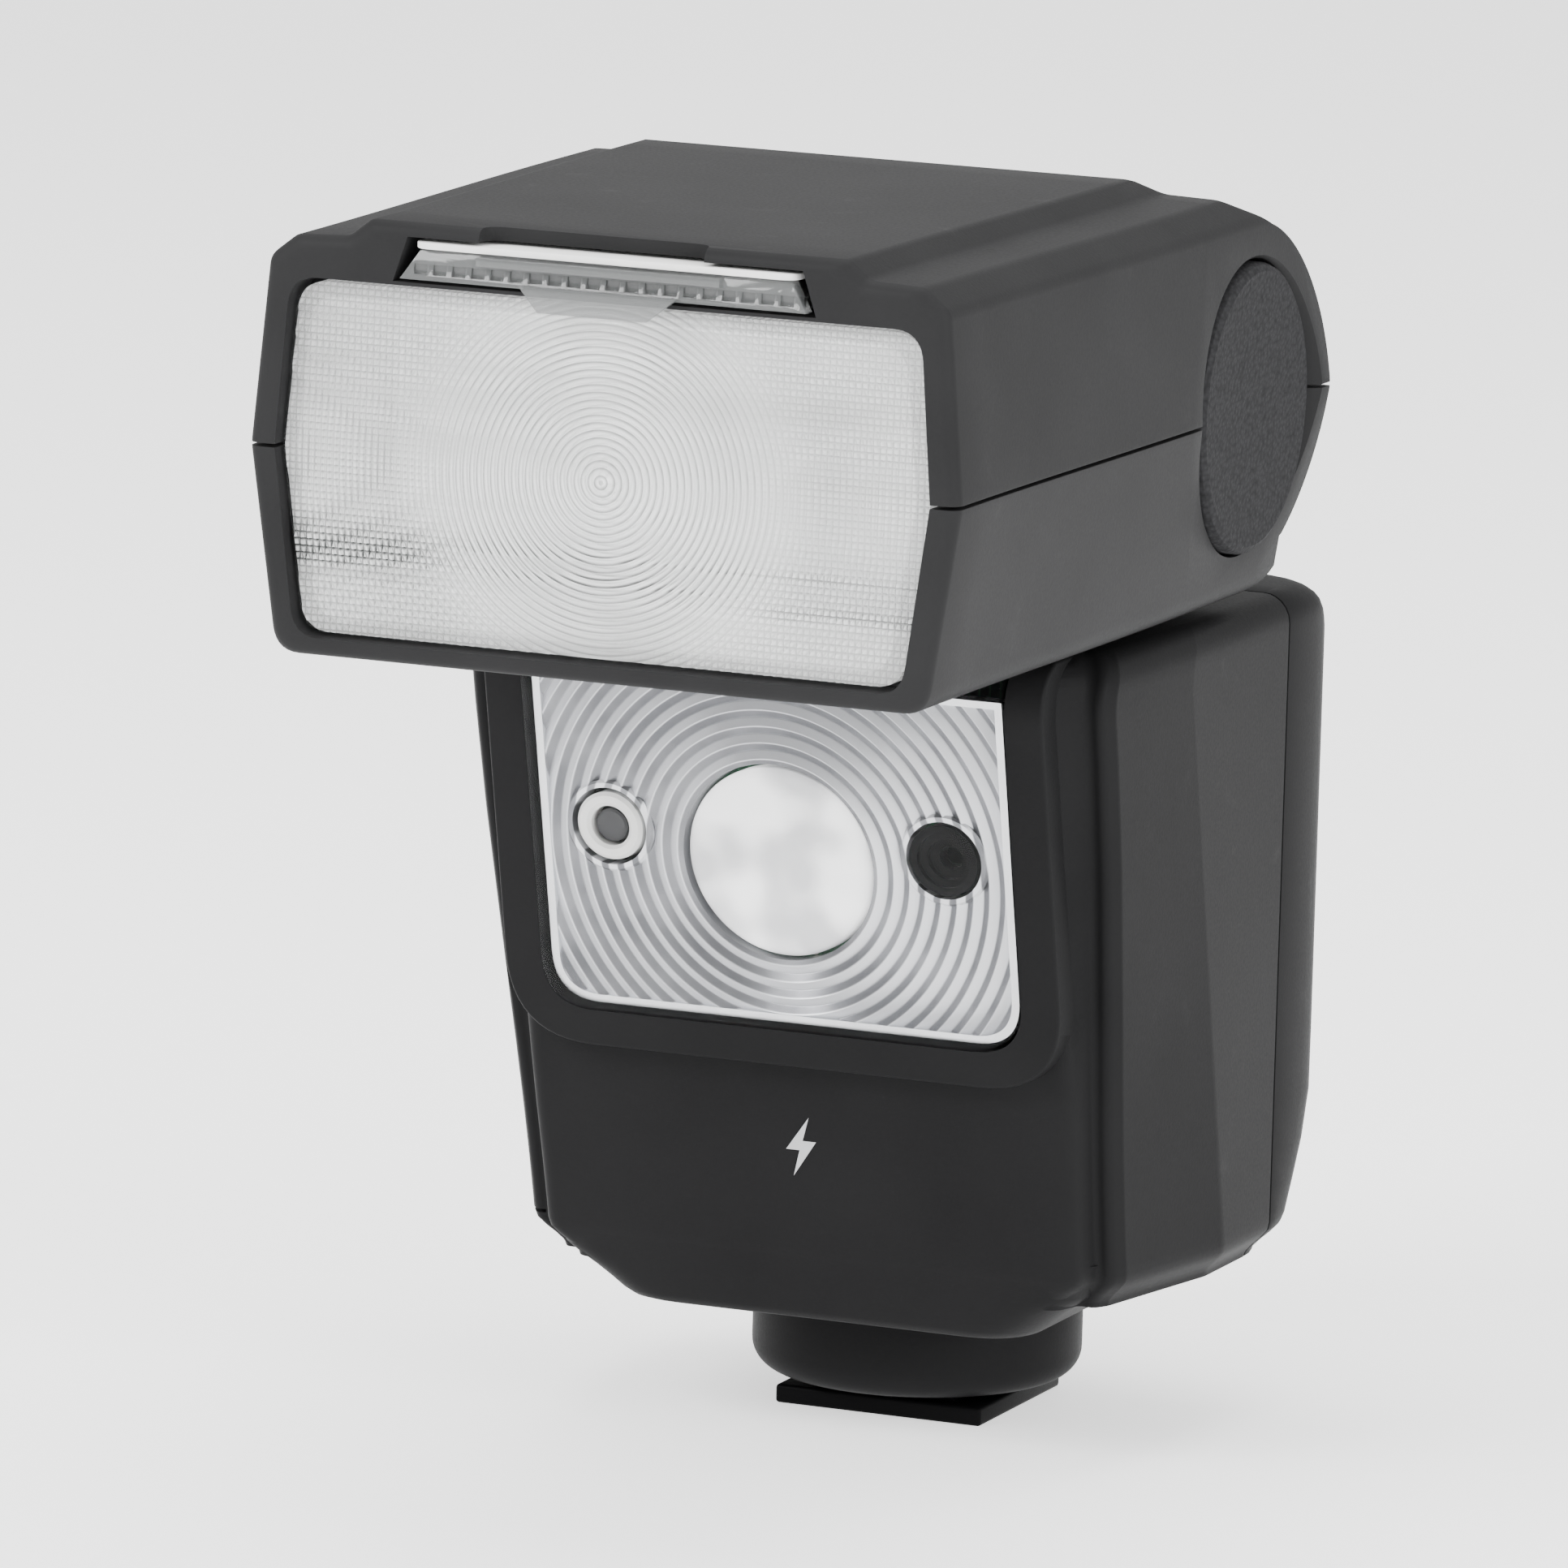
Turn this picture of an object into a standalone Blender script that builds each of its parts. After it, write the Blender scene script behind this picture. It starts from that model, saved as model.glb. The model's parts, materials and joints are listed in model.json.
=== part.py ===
"""Compact hot-shoe speedlight with a front LED lamp, as separate sub-parts.

The origin is the centre of the shoe foot's underside, +Z is up and the flash window faces -Y.
Sizes are in millimetres and turned into metres by MM where a mesh or an object is placed.
"""

import math

import bmesh
import bpy
from mathutils import Vector

MM = 0.001
GAP = 0.3
SMALL = 0.1

# Shoe foot and collar
FOOT_HALF_WIDTH = 9.3
FOOT_HALF_LENGTH = 9.0
FOOT_THICK = 1.6
NECK_HALF = 6.3
COLLAR_RADIUS = 13.9
COLLAR_BOTTOM = 2.5
COLLAR_TOP = 10.2
COLLAR_WALL = 1.6

# Body
BODY_BOTTOM = 14.0
BODY_TOP = 70.3
BODY_HALF_WIDTH = 29.4
BODY_REAR = 18.5
BODY_WALL = 1.6
APRON_BOTTOM = 10.7
REAR_SEAM = 5.0
FACE_Y = -31.5
FACE_Z = 43.5
FACE_LEAN = 0.23
LAMP_Z = 51.0
SENSOR_X = 14.8
SENSOR_Z = 52.7
WINDOW_HALF_WIDTH = 21.0
WINDOW_BOTTOM = 37.0
WINDOW_TOP = 68.9
DOOR_Y = (-26.0, 3.0)
DOOR_Z = (17.0, 50.0)

# Head
HEAD_FRONT = -71.0
HEAD_REAR = 12.0
HEAD_BOTTOM = 71.4
HEAD_TOP = 106.7
HEAD_SEAM = 88.0
HEAD_WALL = 1.6
HEAD_FLARE = 1.1
PIVOT_Y = -8.4
PIVOT_Z = 87.8
CHEEK_RADIUS = 15.3
TAIL_RADIUS = 17.2
CHEEK_IN = 15.2
CAP_RADIUS = 12.0
LENS_FACE = -69.9
PANEL_HALF = 17.4
PANEL_REAR = -30.0

# Shoe contacts and lock pin
CONTACTS = ((0.0, 0.0), (-3.4, 3.6), (3.4, 3.6), (-3.4, -2.6))
CONTACT_BORE = 1.3
LOCK_PIN_Y = -6.1
LOCK_PIN_BORE = 1.25

# Rear controls
KEY_XS = (-18.0, -6.0, 6.0, 18.0)
KEY_Z = 43.5
DIAL_Z = 30.0
TEST_KEY_X = -20.0

# Zoom drive
ROD_XS = (-25.2, 25.2)
ROD_Z = 79.0
SCREW_X = 24.7
SCREW_Z = 88.0
BOWL_Z = 87.0

# Battery cells
CELL_RADIUS = 7.1
CELL_LENGTH = 48.0
CELL_YS = (-14.9, -0.3)
CELL_ZS = (24.8, 39.8)


def clear_scene():
    """Empties the file of objects."""
    for obj in list(bpy.data.objects):
        bpy.data.objects.remove(obj, do_unlink=True)


def material(name, colour, roughness=0.5, metallic=0.0, transmission=0.0):
    """Makes a Principled material."""
    mat = bpy.data.materials.new(name)
    mat.use_nodes = True
    shader = mat.node_tree.nodes["Principled BSDF"]
    shader.inputs["Base Color"].default_value = (*colour, 1.0)
    shader.inputs["Roughness"].default_value = roughness
    shader.inputs["Metallic"].default_value = metallic
    shader.inputs["Transmission Weight"].default_value = transmission
    return mat


def empty(name, place, parent=None):
    """Adds an empty that stands on a joint's axis."""
    obj = bpy.data.objects.new(name, None)
    bpy.context.scene.collection.objects.link(obj)
    put(obj, place, parent)
    return obj


def put(obj, place, parent=None):
    """Places an object at a point in millimetres, below a parent if there is one."""
    world = Vector(place) * MM
    obj["world"] = list(world)
    if parent is not None:
        obj.parent = parent
        world = world - Vector(parent["world"])
    obj.location = world


def solid(name, verts, faces, mat=None, at=(0, 0, 0), parent=None, smooth=35):
    """Makes a mesh object from points in world millimetres, with its origin at a given point."""
    origin = Vector(at)
    mesh = bpy.data.meshes.new(name)
    mesh.from_pydata([(Vector(v) - origin) * MM for v in verts], [], faces)
    bm = bmesh.new()
    bm.from_mesh(mesh)
    bmesh.ops.recalc_face_normals(bm, faces=bm.faces)
    bm.to_mesh(mesh)
    bm.free()
    mesh.shade_smooth()
    mesh.set_sharp_from_angle(angle=math.radians(smooth))
    obj = bpy.data.objects.new(name, mesh)
    bpy.context.scene.collection.objects.link(obj)
    put(obj, at, parent)
    if mat is None:
        obj.hide_render = True
        obj.display_type = "WIRE"
    else:
        mesh.materials.append(mat)
    return obj


def boolean(obj, tool, operation="DIFFERENCE"):
    """Adds an exact Boolean with a hidden tool."""
    mod = obj.modifiers.new(operation.title(), "BOOLEAN")
    mod.operation = operation
    mod.solver = "EXACT"
    mod.object = tool
    return obj


def bevel(obj, width, segments=2, angle=40):
    """Adds a bevel to an object's sharp edges."""
    mod = obj.modifiers.new("Bevel", "BEVEL")
    mod.width = width * MM
    mod.segments = segments
    mod.limit_method = "ANGLE"
    mod.angle_limit = math.radians(angle)
    return obj


def loft(name, rings, mat=None, **place):
    """Skins rings that all have the same number of points, and caps both ends."""
    count = len(rings[0])
    verts = [p for ring in rings for p in ring]
    faces = [list(range(count)), list(range(len(verts) - count, len(verts)))]
    for i in range(len(rings) - 1):
        for j in range(count):
            k = (j + 1) % count
            faces.append([i * count + j, i * count + k, (i + 1) * count + k, (i + 1) * count + j])
    return solid(name, verts, faces, mat, **place)


def box(name, low, high, mat=None, **place):
    """Makes a box between two corners."""
    (x0, y0, z0), (x1, y1, z1) = low, high
    rings = [[(x0, y0, z), (x1, y0, z), (x1, y1, z), (x0, y1, z)] for z in (z0, z1)]
    return loft(name, rings, mat, **place)


AXES = {"x": (1, 2, 0), "y": (2, 0, 1), "z": (0, 1, 2)}


def circle(axis, centre, radius, along, sides, lean=0.0):
    """Points round an axis; a lean shifts them along Y in proportion to their height."""
    a, b, c = AXES[axis]
    ring = []
    for i in range(sides):
        angle = math.tau * i / sides
        point = list(centre)
        point[a] += radius * math.cos(angle)
        point[b] += radius * math.sin(angle)
        point[c] += along
        point[1] -= lean * (point[2] - centre[2])
        ring.append(tuple(point))
    return ring


def turned(name, axis, centre, profile, mat=None, sides=32, lean=0.0, **place):
    """Turns a profile of (radius, distance along the axis) about an axis through a centre."""
    rings = [circle(axis, centre, radius, along, sides, lean) for radius, along in profile]
    return loft(name, rings, mat, **place)


def tube(name, axis, centre, outer, inner, start, end, mat=None, sides=32, lean=0.0, **place):
    """Makes a ring with a bore, as one skin that turns inward at both ends."""
    verts = []
    for radius, along in ((inner, start), (outer, start), (outer, end), (inner, end)):
        verts += circle(axis, centre, radius, along, sides, lean)
    faces = []
    for r in range(4):
        s = (r + 1) % 4
        for j in range(sides):
            k = (j + 1) % sides
            faces.append([r * sides + j, r * sides + k, s * sides + k, s * sides + j])
    return solid(name, verts, faces, mat, **place)


def cylinder(name, axis, centre, radius, start, end, mat=None, sides=32, **place):
    """Makes a plain cylinder along an axis."""
    return turned(name, axis, centre, [(radius, start), (radius, end)], mat, sides, **place)


def rounded(corners, steps=4):
    """Turns (x, y, radius) corners into a loop whose corners are arcs."""
    loop = []
    count = len(corners)
    for i in range(count):
        here = Vector(corners[i][:2])
        before = Vector(corners[i - 1][:2]) - here
        after = Vector(corners[(i + 1) % count][:2]) - here
        half = before.angle(after) / 2
        reach = min(corners[i][2] / math.tan(half), before.length * 0.49, after.length * 0.49)
        start = here + before.normalized() * reach
        end = here + after.normalized() * reach
        for s in range(steps + 1):
            t = s / steps
            loop.append(tuple(start * (1 - t) ** 2 + here * 2 * t * (1 - t) + end * t**2))
    return loop


def mirrored(right):
    """Completes a loop of corners from its right half, given bottom to top."""
    return right + [(-x, y, r) for x, y, r in reversed(right)]


def ease(t):
    """Smooth step between 0 and 1."""
    t = max(0.0, min(1.0, t))
    return t * t * (3 - 2 * t)


# ---------------------------------------------------------------- shapes


def face_y(z):
    """The body's front face, which leans back toward the bottom and rounds over at the top."""
    y = FACE_Y - FACE_LEAN * (z - FACE_Z)
    radius = 5.5
    rise = max(0.0, z - (BODY_TOP - radius))
    y += radius - math.sqrt(max(0.0, radius**2 - rise**2))
    return y + 0.9 * (1 - ease((z - BODY_BOTTOM) / 3))


def rear_y(z):
    """The body's rear face, which comes forward below the control panel."""
    radius = 4.5
    rise = max(0.0, z - (BODY_TOP - radius))
    y = BODY_REAR - radius + math.sqrt(max(0.0, radius**2 - rise**2))
    return y - 7.5 * (1 - ease((z - BODY_BOTTOM + 4) / 18))


def side_x(z):
    """Half the body's width."""
    radius = 2.4
    rise = max(0.0, z - (BODY_TOP - radius))
    x = BODY_HALF_WIDTH - radius + math.sqrt(max(0.0, radius**2 - rise**2))
    return x - 2.2 * (1 - ease((z - BODY_BOTTOM) / 3))


def body_ring(z, inset=0.0):
    """A level section through the body."""
    front = face_y(z) + inset
    rear = rear_y(z) - inset
    side = side_x(z) - inset
    ridge = side - 1.0 - 1.9 * (1 - ease((z - BODY_BOTTOM) / 50))
    corners = mirrored(
        [
            (24.0 - inset, front + 1.2, 2.0),
            (ridge, front + 4.6, 1.5),
            (side, front + 21.0, 20.0),
            (side, rear, 7.0 - inset),
        ]
    )
    return [(x, y, z) for x, y in rounded(corners)]


def body_levels(low, high):
    """The heights at which the body's sections are taken."""
    bottom = [low + d for d in (0.0, 0.6, 1.8, 3.2, 7.0, 12.0)]
    return bottom + [(low + high) / 2 + 4] + [high - d for d in (7.0, 5.0, 3.2, 1.8, 0.8, 0.2, 0.0)]


def body_block(name, mat=None, inset=0.0, **place):
    """The body's outer form, or the same form drawn in by a wall."""
    rings = [body_ring(z, inset) for z in body_levels(BODY_BOTTOM, BODY_TOP)]
    if inset:
        rings = [body_ring(z, inset) for z in body_levels(BODY_BOTTOM + inset, BODY_TOP - inset)]
    return loft(name, rings, mat, **place)


def apron_block(name):
    """The lower belly that stands below the body's sides, over the shoe collar."""
    rings = []
    for z, half, front, rear in (
        (APRON_BOTTOM, 17.5, -21.4, 8.0),
        (APRON_BOTTOM + 0.8, 18.8, -22.6, 10.0),
        (BODY_BOTTOM + 1.0, 23.0, -23.6, 12.0),
        (BODY_BOTTOM + 4.0, 25.0, -24.28, 12.5),
    ):
        corners = mirrored([(half, front, 5.0), (half, rear, 8.0)])
        rings.append([(x, y, z) for x, y in rounded(corners)])
    return loft(name, rings)


def window_loop(half, bottom, top, radius):
    """An upright loop of (x, z) with rounded lower corners."""
    corners = [(-half, bottom, radius), (half, bottom, radius), (half, top, SMALL), (-half, top, SMALL)]
    return rounded(corners, 5)


def face_prism(name, loop, front, back, mat=None, **place):
    """Extrudes an (x, z) loop along the leaning front face, between two depths from that face."""
    rings = []
    for depth in (front, back):
        rings.append([(x, FACE_Y - FACE_LEAN * (z - FACE_Z) + depth, z) for x, z in loop])
    return loft(name, rings, mat, **place)


def face_strip(name, front, back, low, high, half, mat=None, **place):
    """A strip that follows the front face and its rounded top, between two depths from it."""
    steps = 22
    heights = [low + (high - low) * (i / steps) ** 0.6 for i in range(steps + 1)]
    outer = [(face_y(z) + front, z) for z in heights]
    inner = [(face_y(z) + back, z) for z in reversed(heights)]
    return loft(name, [[(x, y, z) for y, z in outer + inner] for x in (-half, half)], mat, **place)


def head_ring(y, inset=0.0, half_extra=0.0):
    """A section across the head at a distance along it."""
    flare = HEAD_FLARE * ease((y - HEAD_FRONT) / 55)
    wide = flare + half_extra - inset
    corners = mirrored(
        [
            (28.0 + wide, HEAD_BOTTOM + inset, 2.4),
            (30.5 + wide, HEAD_SEAM, 5.0),
            (29.1 + wide, 103.2 - inset, 1.6),
            (26.8 + wide, 105.0 - inset, 1.6),
            (22.3 + wide, 105.2 - inset, 1.6),
            (20.4 + wide, HEAD_TOP - inset, 1.2),
        ]
    )
    return [(x, y, z) for x, z in rounded(corners, 3)]


def head_block(name, mat=None, inset=0.0, start=HEAD_FRONT, end=HEAD_REAR, **place):
    """The head's outer form, with rounded front edges when it isn't drawn in."""
    stations = [start, start + 0.35, start + 1.1]
    extra = [0.0, 0.0, 0.0] if inset else [1.2, 0.35, 0.0]
    for share in (0.25, 0.5, 0.75, 1.0):
        stations.append(start + (end - start) * share)
        extra.append(0.0)
    rings = [head_ring(y, inset + e) for y, e in zip(stations, extra, strict=True)]
    return loft(name, rings, mat, **place)


def arc(radius, start, end, steps):
    """Points on the cheek's arc about the tilt pivot, as (y, z)."""
    points = []
    for i in range(steps + 1):
        angle = math.radians(start + (end - start) * i / steps)
        points.append((PIVOT_Y + radius * math.cos(angle), PIVOT_Z + radius * math.sin(angle)))
    return points


def head_side(name):
    """The head's outline from the side, as a wide prism that trims the rear into an arc."""
    outline = [(-90.0, 60.0), (-6.0, 60.0)]
    outline += arc(TAIL_RADIUS, -72, -56.9, 4)
    outline += [(1.0, 75.9)]
    outline += arc(CHEEK_RADIUS, -50, 74, 14)
    outline += [(-11.5, 105.4), (-16.5, 107.2), (-22.0, 108.0), (-90.0, 108.0)]
    rings = [[(x, y, z) for y, z in outline] for x in (-40.0, 40.0)]
    return loft(name, rings)


def lens_loop(grow=0.0):
    """The window's loop in (x, z), wider at the seam than at its top and bottom."""
    corners = mirrored(
        [
            (25.6 + grow, 73.4 - grow, 2.6),
            (27.6 + grow, HEAD_SEAM, 4.0),
            (26.5 + grow, 101.2 + grow, 2.6),
        ]
    )
    return rounded(corners, 4)


def upright_prism(name, loop, front, back, mat=None, **place):
    """Extrudes an (x, z) loop along Y."""
    return loft(name, [[(x, y, z) for x, z in loop] for y in (front, back)], mat, **place)


# ---------------------------------------------------------------- body


def make_housing(mats):
    """Front body shell with the apron, the lamp window's rim and the door opening."""
    shell = body_block("main_housing", mats["plastic"])
    boolean(shell, apron_block("apron_tool"), "UNION")
    rim = face_prism("rim_tool", window_loop(24.6, WINDOW_BOTTOM - 3.4, 65.5, 7.5), -1.0, 6.0)
    bevel(rim, 1.2, 2, 30)
    boolean(shell, rim, "UNION")
    boolean(shell, body_block("body_cavity", inset=BODY_WALL))
    boolean(shell, box("rear_tool", (-40, REAR_SEAM, 0), (40, 40, 90)))
    pocket = face_strip(
        "window_tool", -6.0, 3.0, WINDOW_BOTTOM - 5, WINDOW_TOP + GAP, WINDOW_HALF_WIDTH + GAP
    )
    outline = window_loop(WINDOW_HALF_WIDTH + GAP, WINDOW_BOTTOM - GAP, 90, 4.5)
    boolean(pocket, upright_prism("window_outline", outline, -60, -10), "INTERSECT")
    boolean(shell, pocket)
    boolean(shell, box("door_tool", (-40, DOOR_Y[0], DOOR_Z[0]), (-25, DOOR_Y[1], DOOR_Z[1])))
    boolean(shell, cylinder("top_bore", "z", (0, PIVOT_Y, 0), 11.3, 60, 80))
    boolean(shell, cylinder("bottom_bore", "z", (0, 0, 0), 4.5, 5, 20))
    return shell


def make_rear_cover(mats):
    """Rear cover with the openings for the screen, the dial and the keys."""
    cover = body_block("rear_cover", mats["plastic"])
    boolean(cover, apron_block("cover_apron"), "UNION")
    boolean(cover, body_block("cover_cavity", inset=BODY_WALL))
    boolean(cover, box("front_tool", (-40, -60, 0), (40, REAR_SEAM + GAP, 90)))
    boolean(cover, box("screen_tool", (-17.3, 14, 46.7), (17.3, 25, 63.3)))
    boolean(cover, cylinder("dial_tool", "y", (0, 0, DIAL_Z), 9.8, 10, 25))
    for x in KEY_XS:
        boolean(cover, box("key_tool", (x - 4.3, 10, 41.7), (x + 4.3, 25, 45.3)))
    boolean(cover, box("switch_tool", (15.2, 10, 27.5), (24.8, 25, 32.5)))
    boolean(cover, cylinder("test_tool", "y", (TEST_KEY_X, 0, DIAL_Z), 3.3, 10, 25))
    return cover


def make_lamp(mats):
    """The LED lamp: cover, ribbed reflector, lens, board and the sensors beside it."""
    cover = face_strip(
        "led_window", -1.6, -0.4, WINDOW_BOTTOM - 5, WINDOW_TOP, WINDOW_HALF_WIDTH, mats["clear"]
    )
    loop = window_loop(WINDOW_HALF_WIDTH, WINDOW_BOTTOM, 90, 4.2)
    boolean(cover, upright_prism("cover_outline", loop, -60, -10), "INTERSECT")
    back = window_loop(WINDOW_HALF_WIDTH - 0.4, WINDOW_BOTTOM + 0.4, 65.0, 4.0)
    reflector = face_prism("led_reflector", back, 0.2, 2.6, mats["silver"])
    y = FACE_Y - FACE_LEAN * (LAMP_Z - FACE_Z)
    boolean(reflector, cylinder("lamp_bore", "y", (0, y, LAMP_Z), 8.4, -5, 9))
    sensor_y = FACE_Y - FACE_LEAN * (SENSOR_Z - FACE_Z)
    for x in (-SENSOR_X, SENSOR_X):
        boolean(reflector, cylinder("sensor_bore", "y", (x, sensor_y, SENSOR_Z), 3.3, -5, 9))
    turned("led_lens", "y", (0, y, LAMP_Z), dome(8.1, 2.4, 0.9), mats["frosted"], 40, FACE_LEAN)
    box("led_board", (-12, y + 5.2, LAMP_Z - 9), (12, y + 6.4, LAMP_Z + 9), mats["board"])
    left = (-SENSOR_X, sensor_y, SENSOR_Z)
    tube("sensor_ring", "y", left, 2.9, 1.7, 0.1, 2.0, mats["white"], 24, FACE_LEAN)
    cylinder("sensor_disc", "y", left, 1.4, 0.6, 1.8, mats["grey"], 20)
    right = (SENSOR_X, sensor_y, SENSOR_Z)
    tube("sensor_tube", "y", right, 3.0, 1.0, 0.1, 3.4, mats["black"], 24, FACE_LEAN)


def dome(radius, depth, bulge):
    """A lens profile: a flat back, a short wall and a bulging front."""
    profile = [(radius, depth)]
    for i in range(5):
        angle = math.radians(90 * i / 4.4)
        profile.append((radius * math.cos(angle), 0.2 + bulge - bulge * math.sin(angle)))
    return profile


def make_batteries(mats):
    """Four cells lying across the body, with a contact plate at the far end."""
    for row, z in enumerate(CELL_ZS):
        for column, y in enumerate(CELL_YS):
            name = f"battery_{1 + row * 2 + column}"
            flip = 1 if (row + column) % 2 else -1
            half = CELL_LENGTH / 2
            profile = [(CELL_RADIUS, -half), (CELL_RADIUS, half), (2.7, half), (2.7, half + 1.2)]
            profile = [(r, a * flip) for r, a in profile]
            turned(name, "x", (0, y, z), profile, mats["cell"], 28)
    box("contact_plate_right", (25.5, -14.2, 22.0), (25.9, 4.6, 44.5), mats["nickel"])


def make_electronics(mats):
    """Main board, capacitor, screen and key board."""
    box("main_board", (-25, 7.3, 21), (25, 8.4, 65), mats["board"])
    cylinder("main_capacitor", "x", (0, -10.0, 54.5), 7.0, -20, 20, mats["sleeve"], 32)
    box("screen_module", (-16, 12.3, 47.5), (16, 16.2, 62.5), mats["lcd"])
    screen = box("screen_window", (-17, 16.8, 47.0), (17, 18.9, 63.0), mats["clear"])
    bevel(screen, 0.4)
    box("key_board", (-24, 9.6, 24), (24, 10.8, 45.8), mats["board"])


def make_keys(mats):
    """Rear keys, dial, centre key, test key and power switch."""
    for name, x in zip(("key_mode", "key_light", "key_wireless", "key_zoom"), KEY_XS, strict=True):
        at = (x, BODY_REAR, KEY_Z)
        key = box(name, (x - 4, 11.6, 42.0), (x + 4, 19.6, 45.0), mats["rubber"], at=at)
        bevel(key, 0.5)
    dial = tube(
        "control_dial", "y", (0, 0, DIAL_Z), 9.4, 4.6, 11.8, 20.2, mats["plastic"], 48,
        at=(0, BODY_REAR, DIAL_Z)
    )
    bevel(dial, 0.5)
    centre = cylinder(
        "dial_key", "y", (0, 0, DIAL_Z), 4.2, 11.8, 20.0, mats["rubber"], 32, at=(0, BODY_REAR, DIAL_Z)
    )
    bevel(centre, 0.4)
    test = cylinder(
        "key_test", "y", (TEST_KEY_X, 0, DIAL_Z), 3.0, 11.8, 19.4, mats["lamp_red"], 28,
        at=(TEST_KEY_X, BODY_REAR, DIAL_Z)
    )
    bevel(test, 0.4)
    slide = box(
        "power_switch", (15.5, 11.8, 27.9), (20.5, 19.7, 32.1), mats["rubber"], at=(18, BODY_REAR, DIAL_Z)
    )
    bevel(slide, 0.4)


def make_door(mats):
    """Battery door in the left wall, its hinge pin and its sliding latch."""
    hinge = (-28.6, DOOR_Y[1] - 1.2, 33.5)
    door = body_block("battery_door", mats["plastic"], at=hinge)
    boolean(door, body_block("door_cavity", inset=BODY_WALL))
    keep = box("door_keep", (-40, DOOR_Y[0] + GAP, DOOR_Z[0] + GAP), (-25, DOOR_Y[1] - GAP, DOOR_Z[1] - GAP))
    boolean(door, keep, "INTERSECT")
    boolean(door, box("latch_recess", (-40, -12.9, 28.0), (-28.5, -2.8, 40.0)))
    boss = box("door_boss", (-28.2, -12.0, 24.0), (-26.2, -4.0, 40.0))
    boolean(door, boss, "UNION")
    box("contact_plate_left", (-25.9, -14.2, 22.0), (-25.5, 0.6, 44.5), mats["nickel"], at=hinge)
    box("door_latch", (-29.1, -9.3, 28.6), (-28.75, -3.2, 39.4), mats["rubber"], at=(-29, -6.2, 34))


def make_neck(mats):
    """Swivel table with the yoke that carries the tilt shaft, and the ring that keeps it in the body."""
    at = (0, PIVOT_Y, BODY_TOP)
    centre = (0, PIVOT_Y, 0)
    profile = [(10.8, 66.0), (10.8, 70.6), (14.2, 70.6), (14.2, 73.0)]
    neck = turned("swivel_neck", "z", centre, profile, mats["plastic"], 48, at=at)
    outline = [(PIVOT_Y - 7.0, 71.5), (PIVOT_Y + 7.0, 71.5)]
    outline += [
        (PIVOT_Y + 8.2 * math.cos(math.radians(a)), PIVOT_Z + 8.2 * math.sin(math.radians(a)))
        for a in range(0, 181, 15)
    ]
    post = loft("post_tool", [[(x, y, z) for y, z in outline] for x in (-11.5, 11.5)])
    boolean(neck, post, "UNION")
    boolean(neck, cylinder("shaft_bore", "x", (0, PIVOT_Y, PIVOT_Z), 3.3, -20, 20))
    boolean(neck, cylinder("wire_bore", "z", (0, PIVOT_Y, 0), 3.5, 60, 79))
    tube("swivel_retainer", "z", centre, 13.2, 10.8 + GAP, 66.2, 68.1, mats["nickel"], 40)
    cylinder("tilt_shaft", "x", (0, PIVOT_Y, PIVOT_Z), 3.0, -20.5, 20.5, mats["steel"], 28,
             at=(0, PIVOT_Y, PIVOT_Z))
    tube("tilt_detent", "x", (0, PIVOT_Y, PIVOT_Z), 6.5, 3.3, 12.0, 13.4, mats["nickel"], 28,
         at=(0, PIVOT_Y, PIVOT_Z))


# ---------------------------------------------------------------- head


def trim_head(shell, upper):
    """Cuts a head block to its side outline, hollows it and opens the front, the rear slot and the caps."""
    boolean(shell, head_side("side_tool"), "INTERSECT")
    boolean(shell, head_block("head_cavity", inset=HEAD_WALL, start=-67.6, end=-26.0))
    low, high = (HEAD_SEAM + GAP / 2, 120) if upper else (50, HEAD_SEAM - GAP / 2)
    boolean(shell, box("half_tool", (-50, -90, low), (50, 40, high)), "INTERSECT")
    boolean(shell, upright_prism("lens_recess", lens_loop(0.5), -75, LENS_FACE + 2.6))
    slot_top = 97.5
    boolean(shell, box("neck_slot", (-CHEEK_IN, -24.6, 60), (CHEEK_IN, 30, slot_top)))
    boolean(shell, cylinder("head_bore", "x", (0, PIVOT_Y, PIVOT_Z), 3.3, -26, 26, sides=28))
    for side in (-1, 1):
        hollow = cylinder("cheek_hollow", "x", (0, PIVOT_Y, PIVOT_Z), 10.4, side * 20.9, side * 40)
        boolean(shell, hollow)
        seat = turned(
            "cap_seat", "x", (0, PIVOT_Y, PIVOT_Z),
            [
                (CAP_RADIUS + GAP, side * 27.4),
                (CAP_RADIUS + GAP, side * 30.3),
                (13.8, side * 31.9),
                (13.8, side * 40),
            ],
            sides=48,
        )
        boolean(shell, seat)
    return shell


def make_head_shells(mats, tilt):
    """Upper and lower head shells, split at the seam."""
    at = (0, PIVOT_Y, PIVOT_Z)
    upper = head_block("head_upper_shell", mats["plastic"], at=at, parent=tilt)
    trim_head(upper, True)
    slot = box("panel_slot", (-PANEL_HALF - 1.2, -80, 102.0), (PANEL_HALF + 1.2, PANEL_REAR + 1.0, 105.6))
    boolean(upper, slot)
    lower = head_block("head_lower_shell", mats["plastic"], at=at, parent=tilt)
    trim_head(lower, False)


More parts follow.
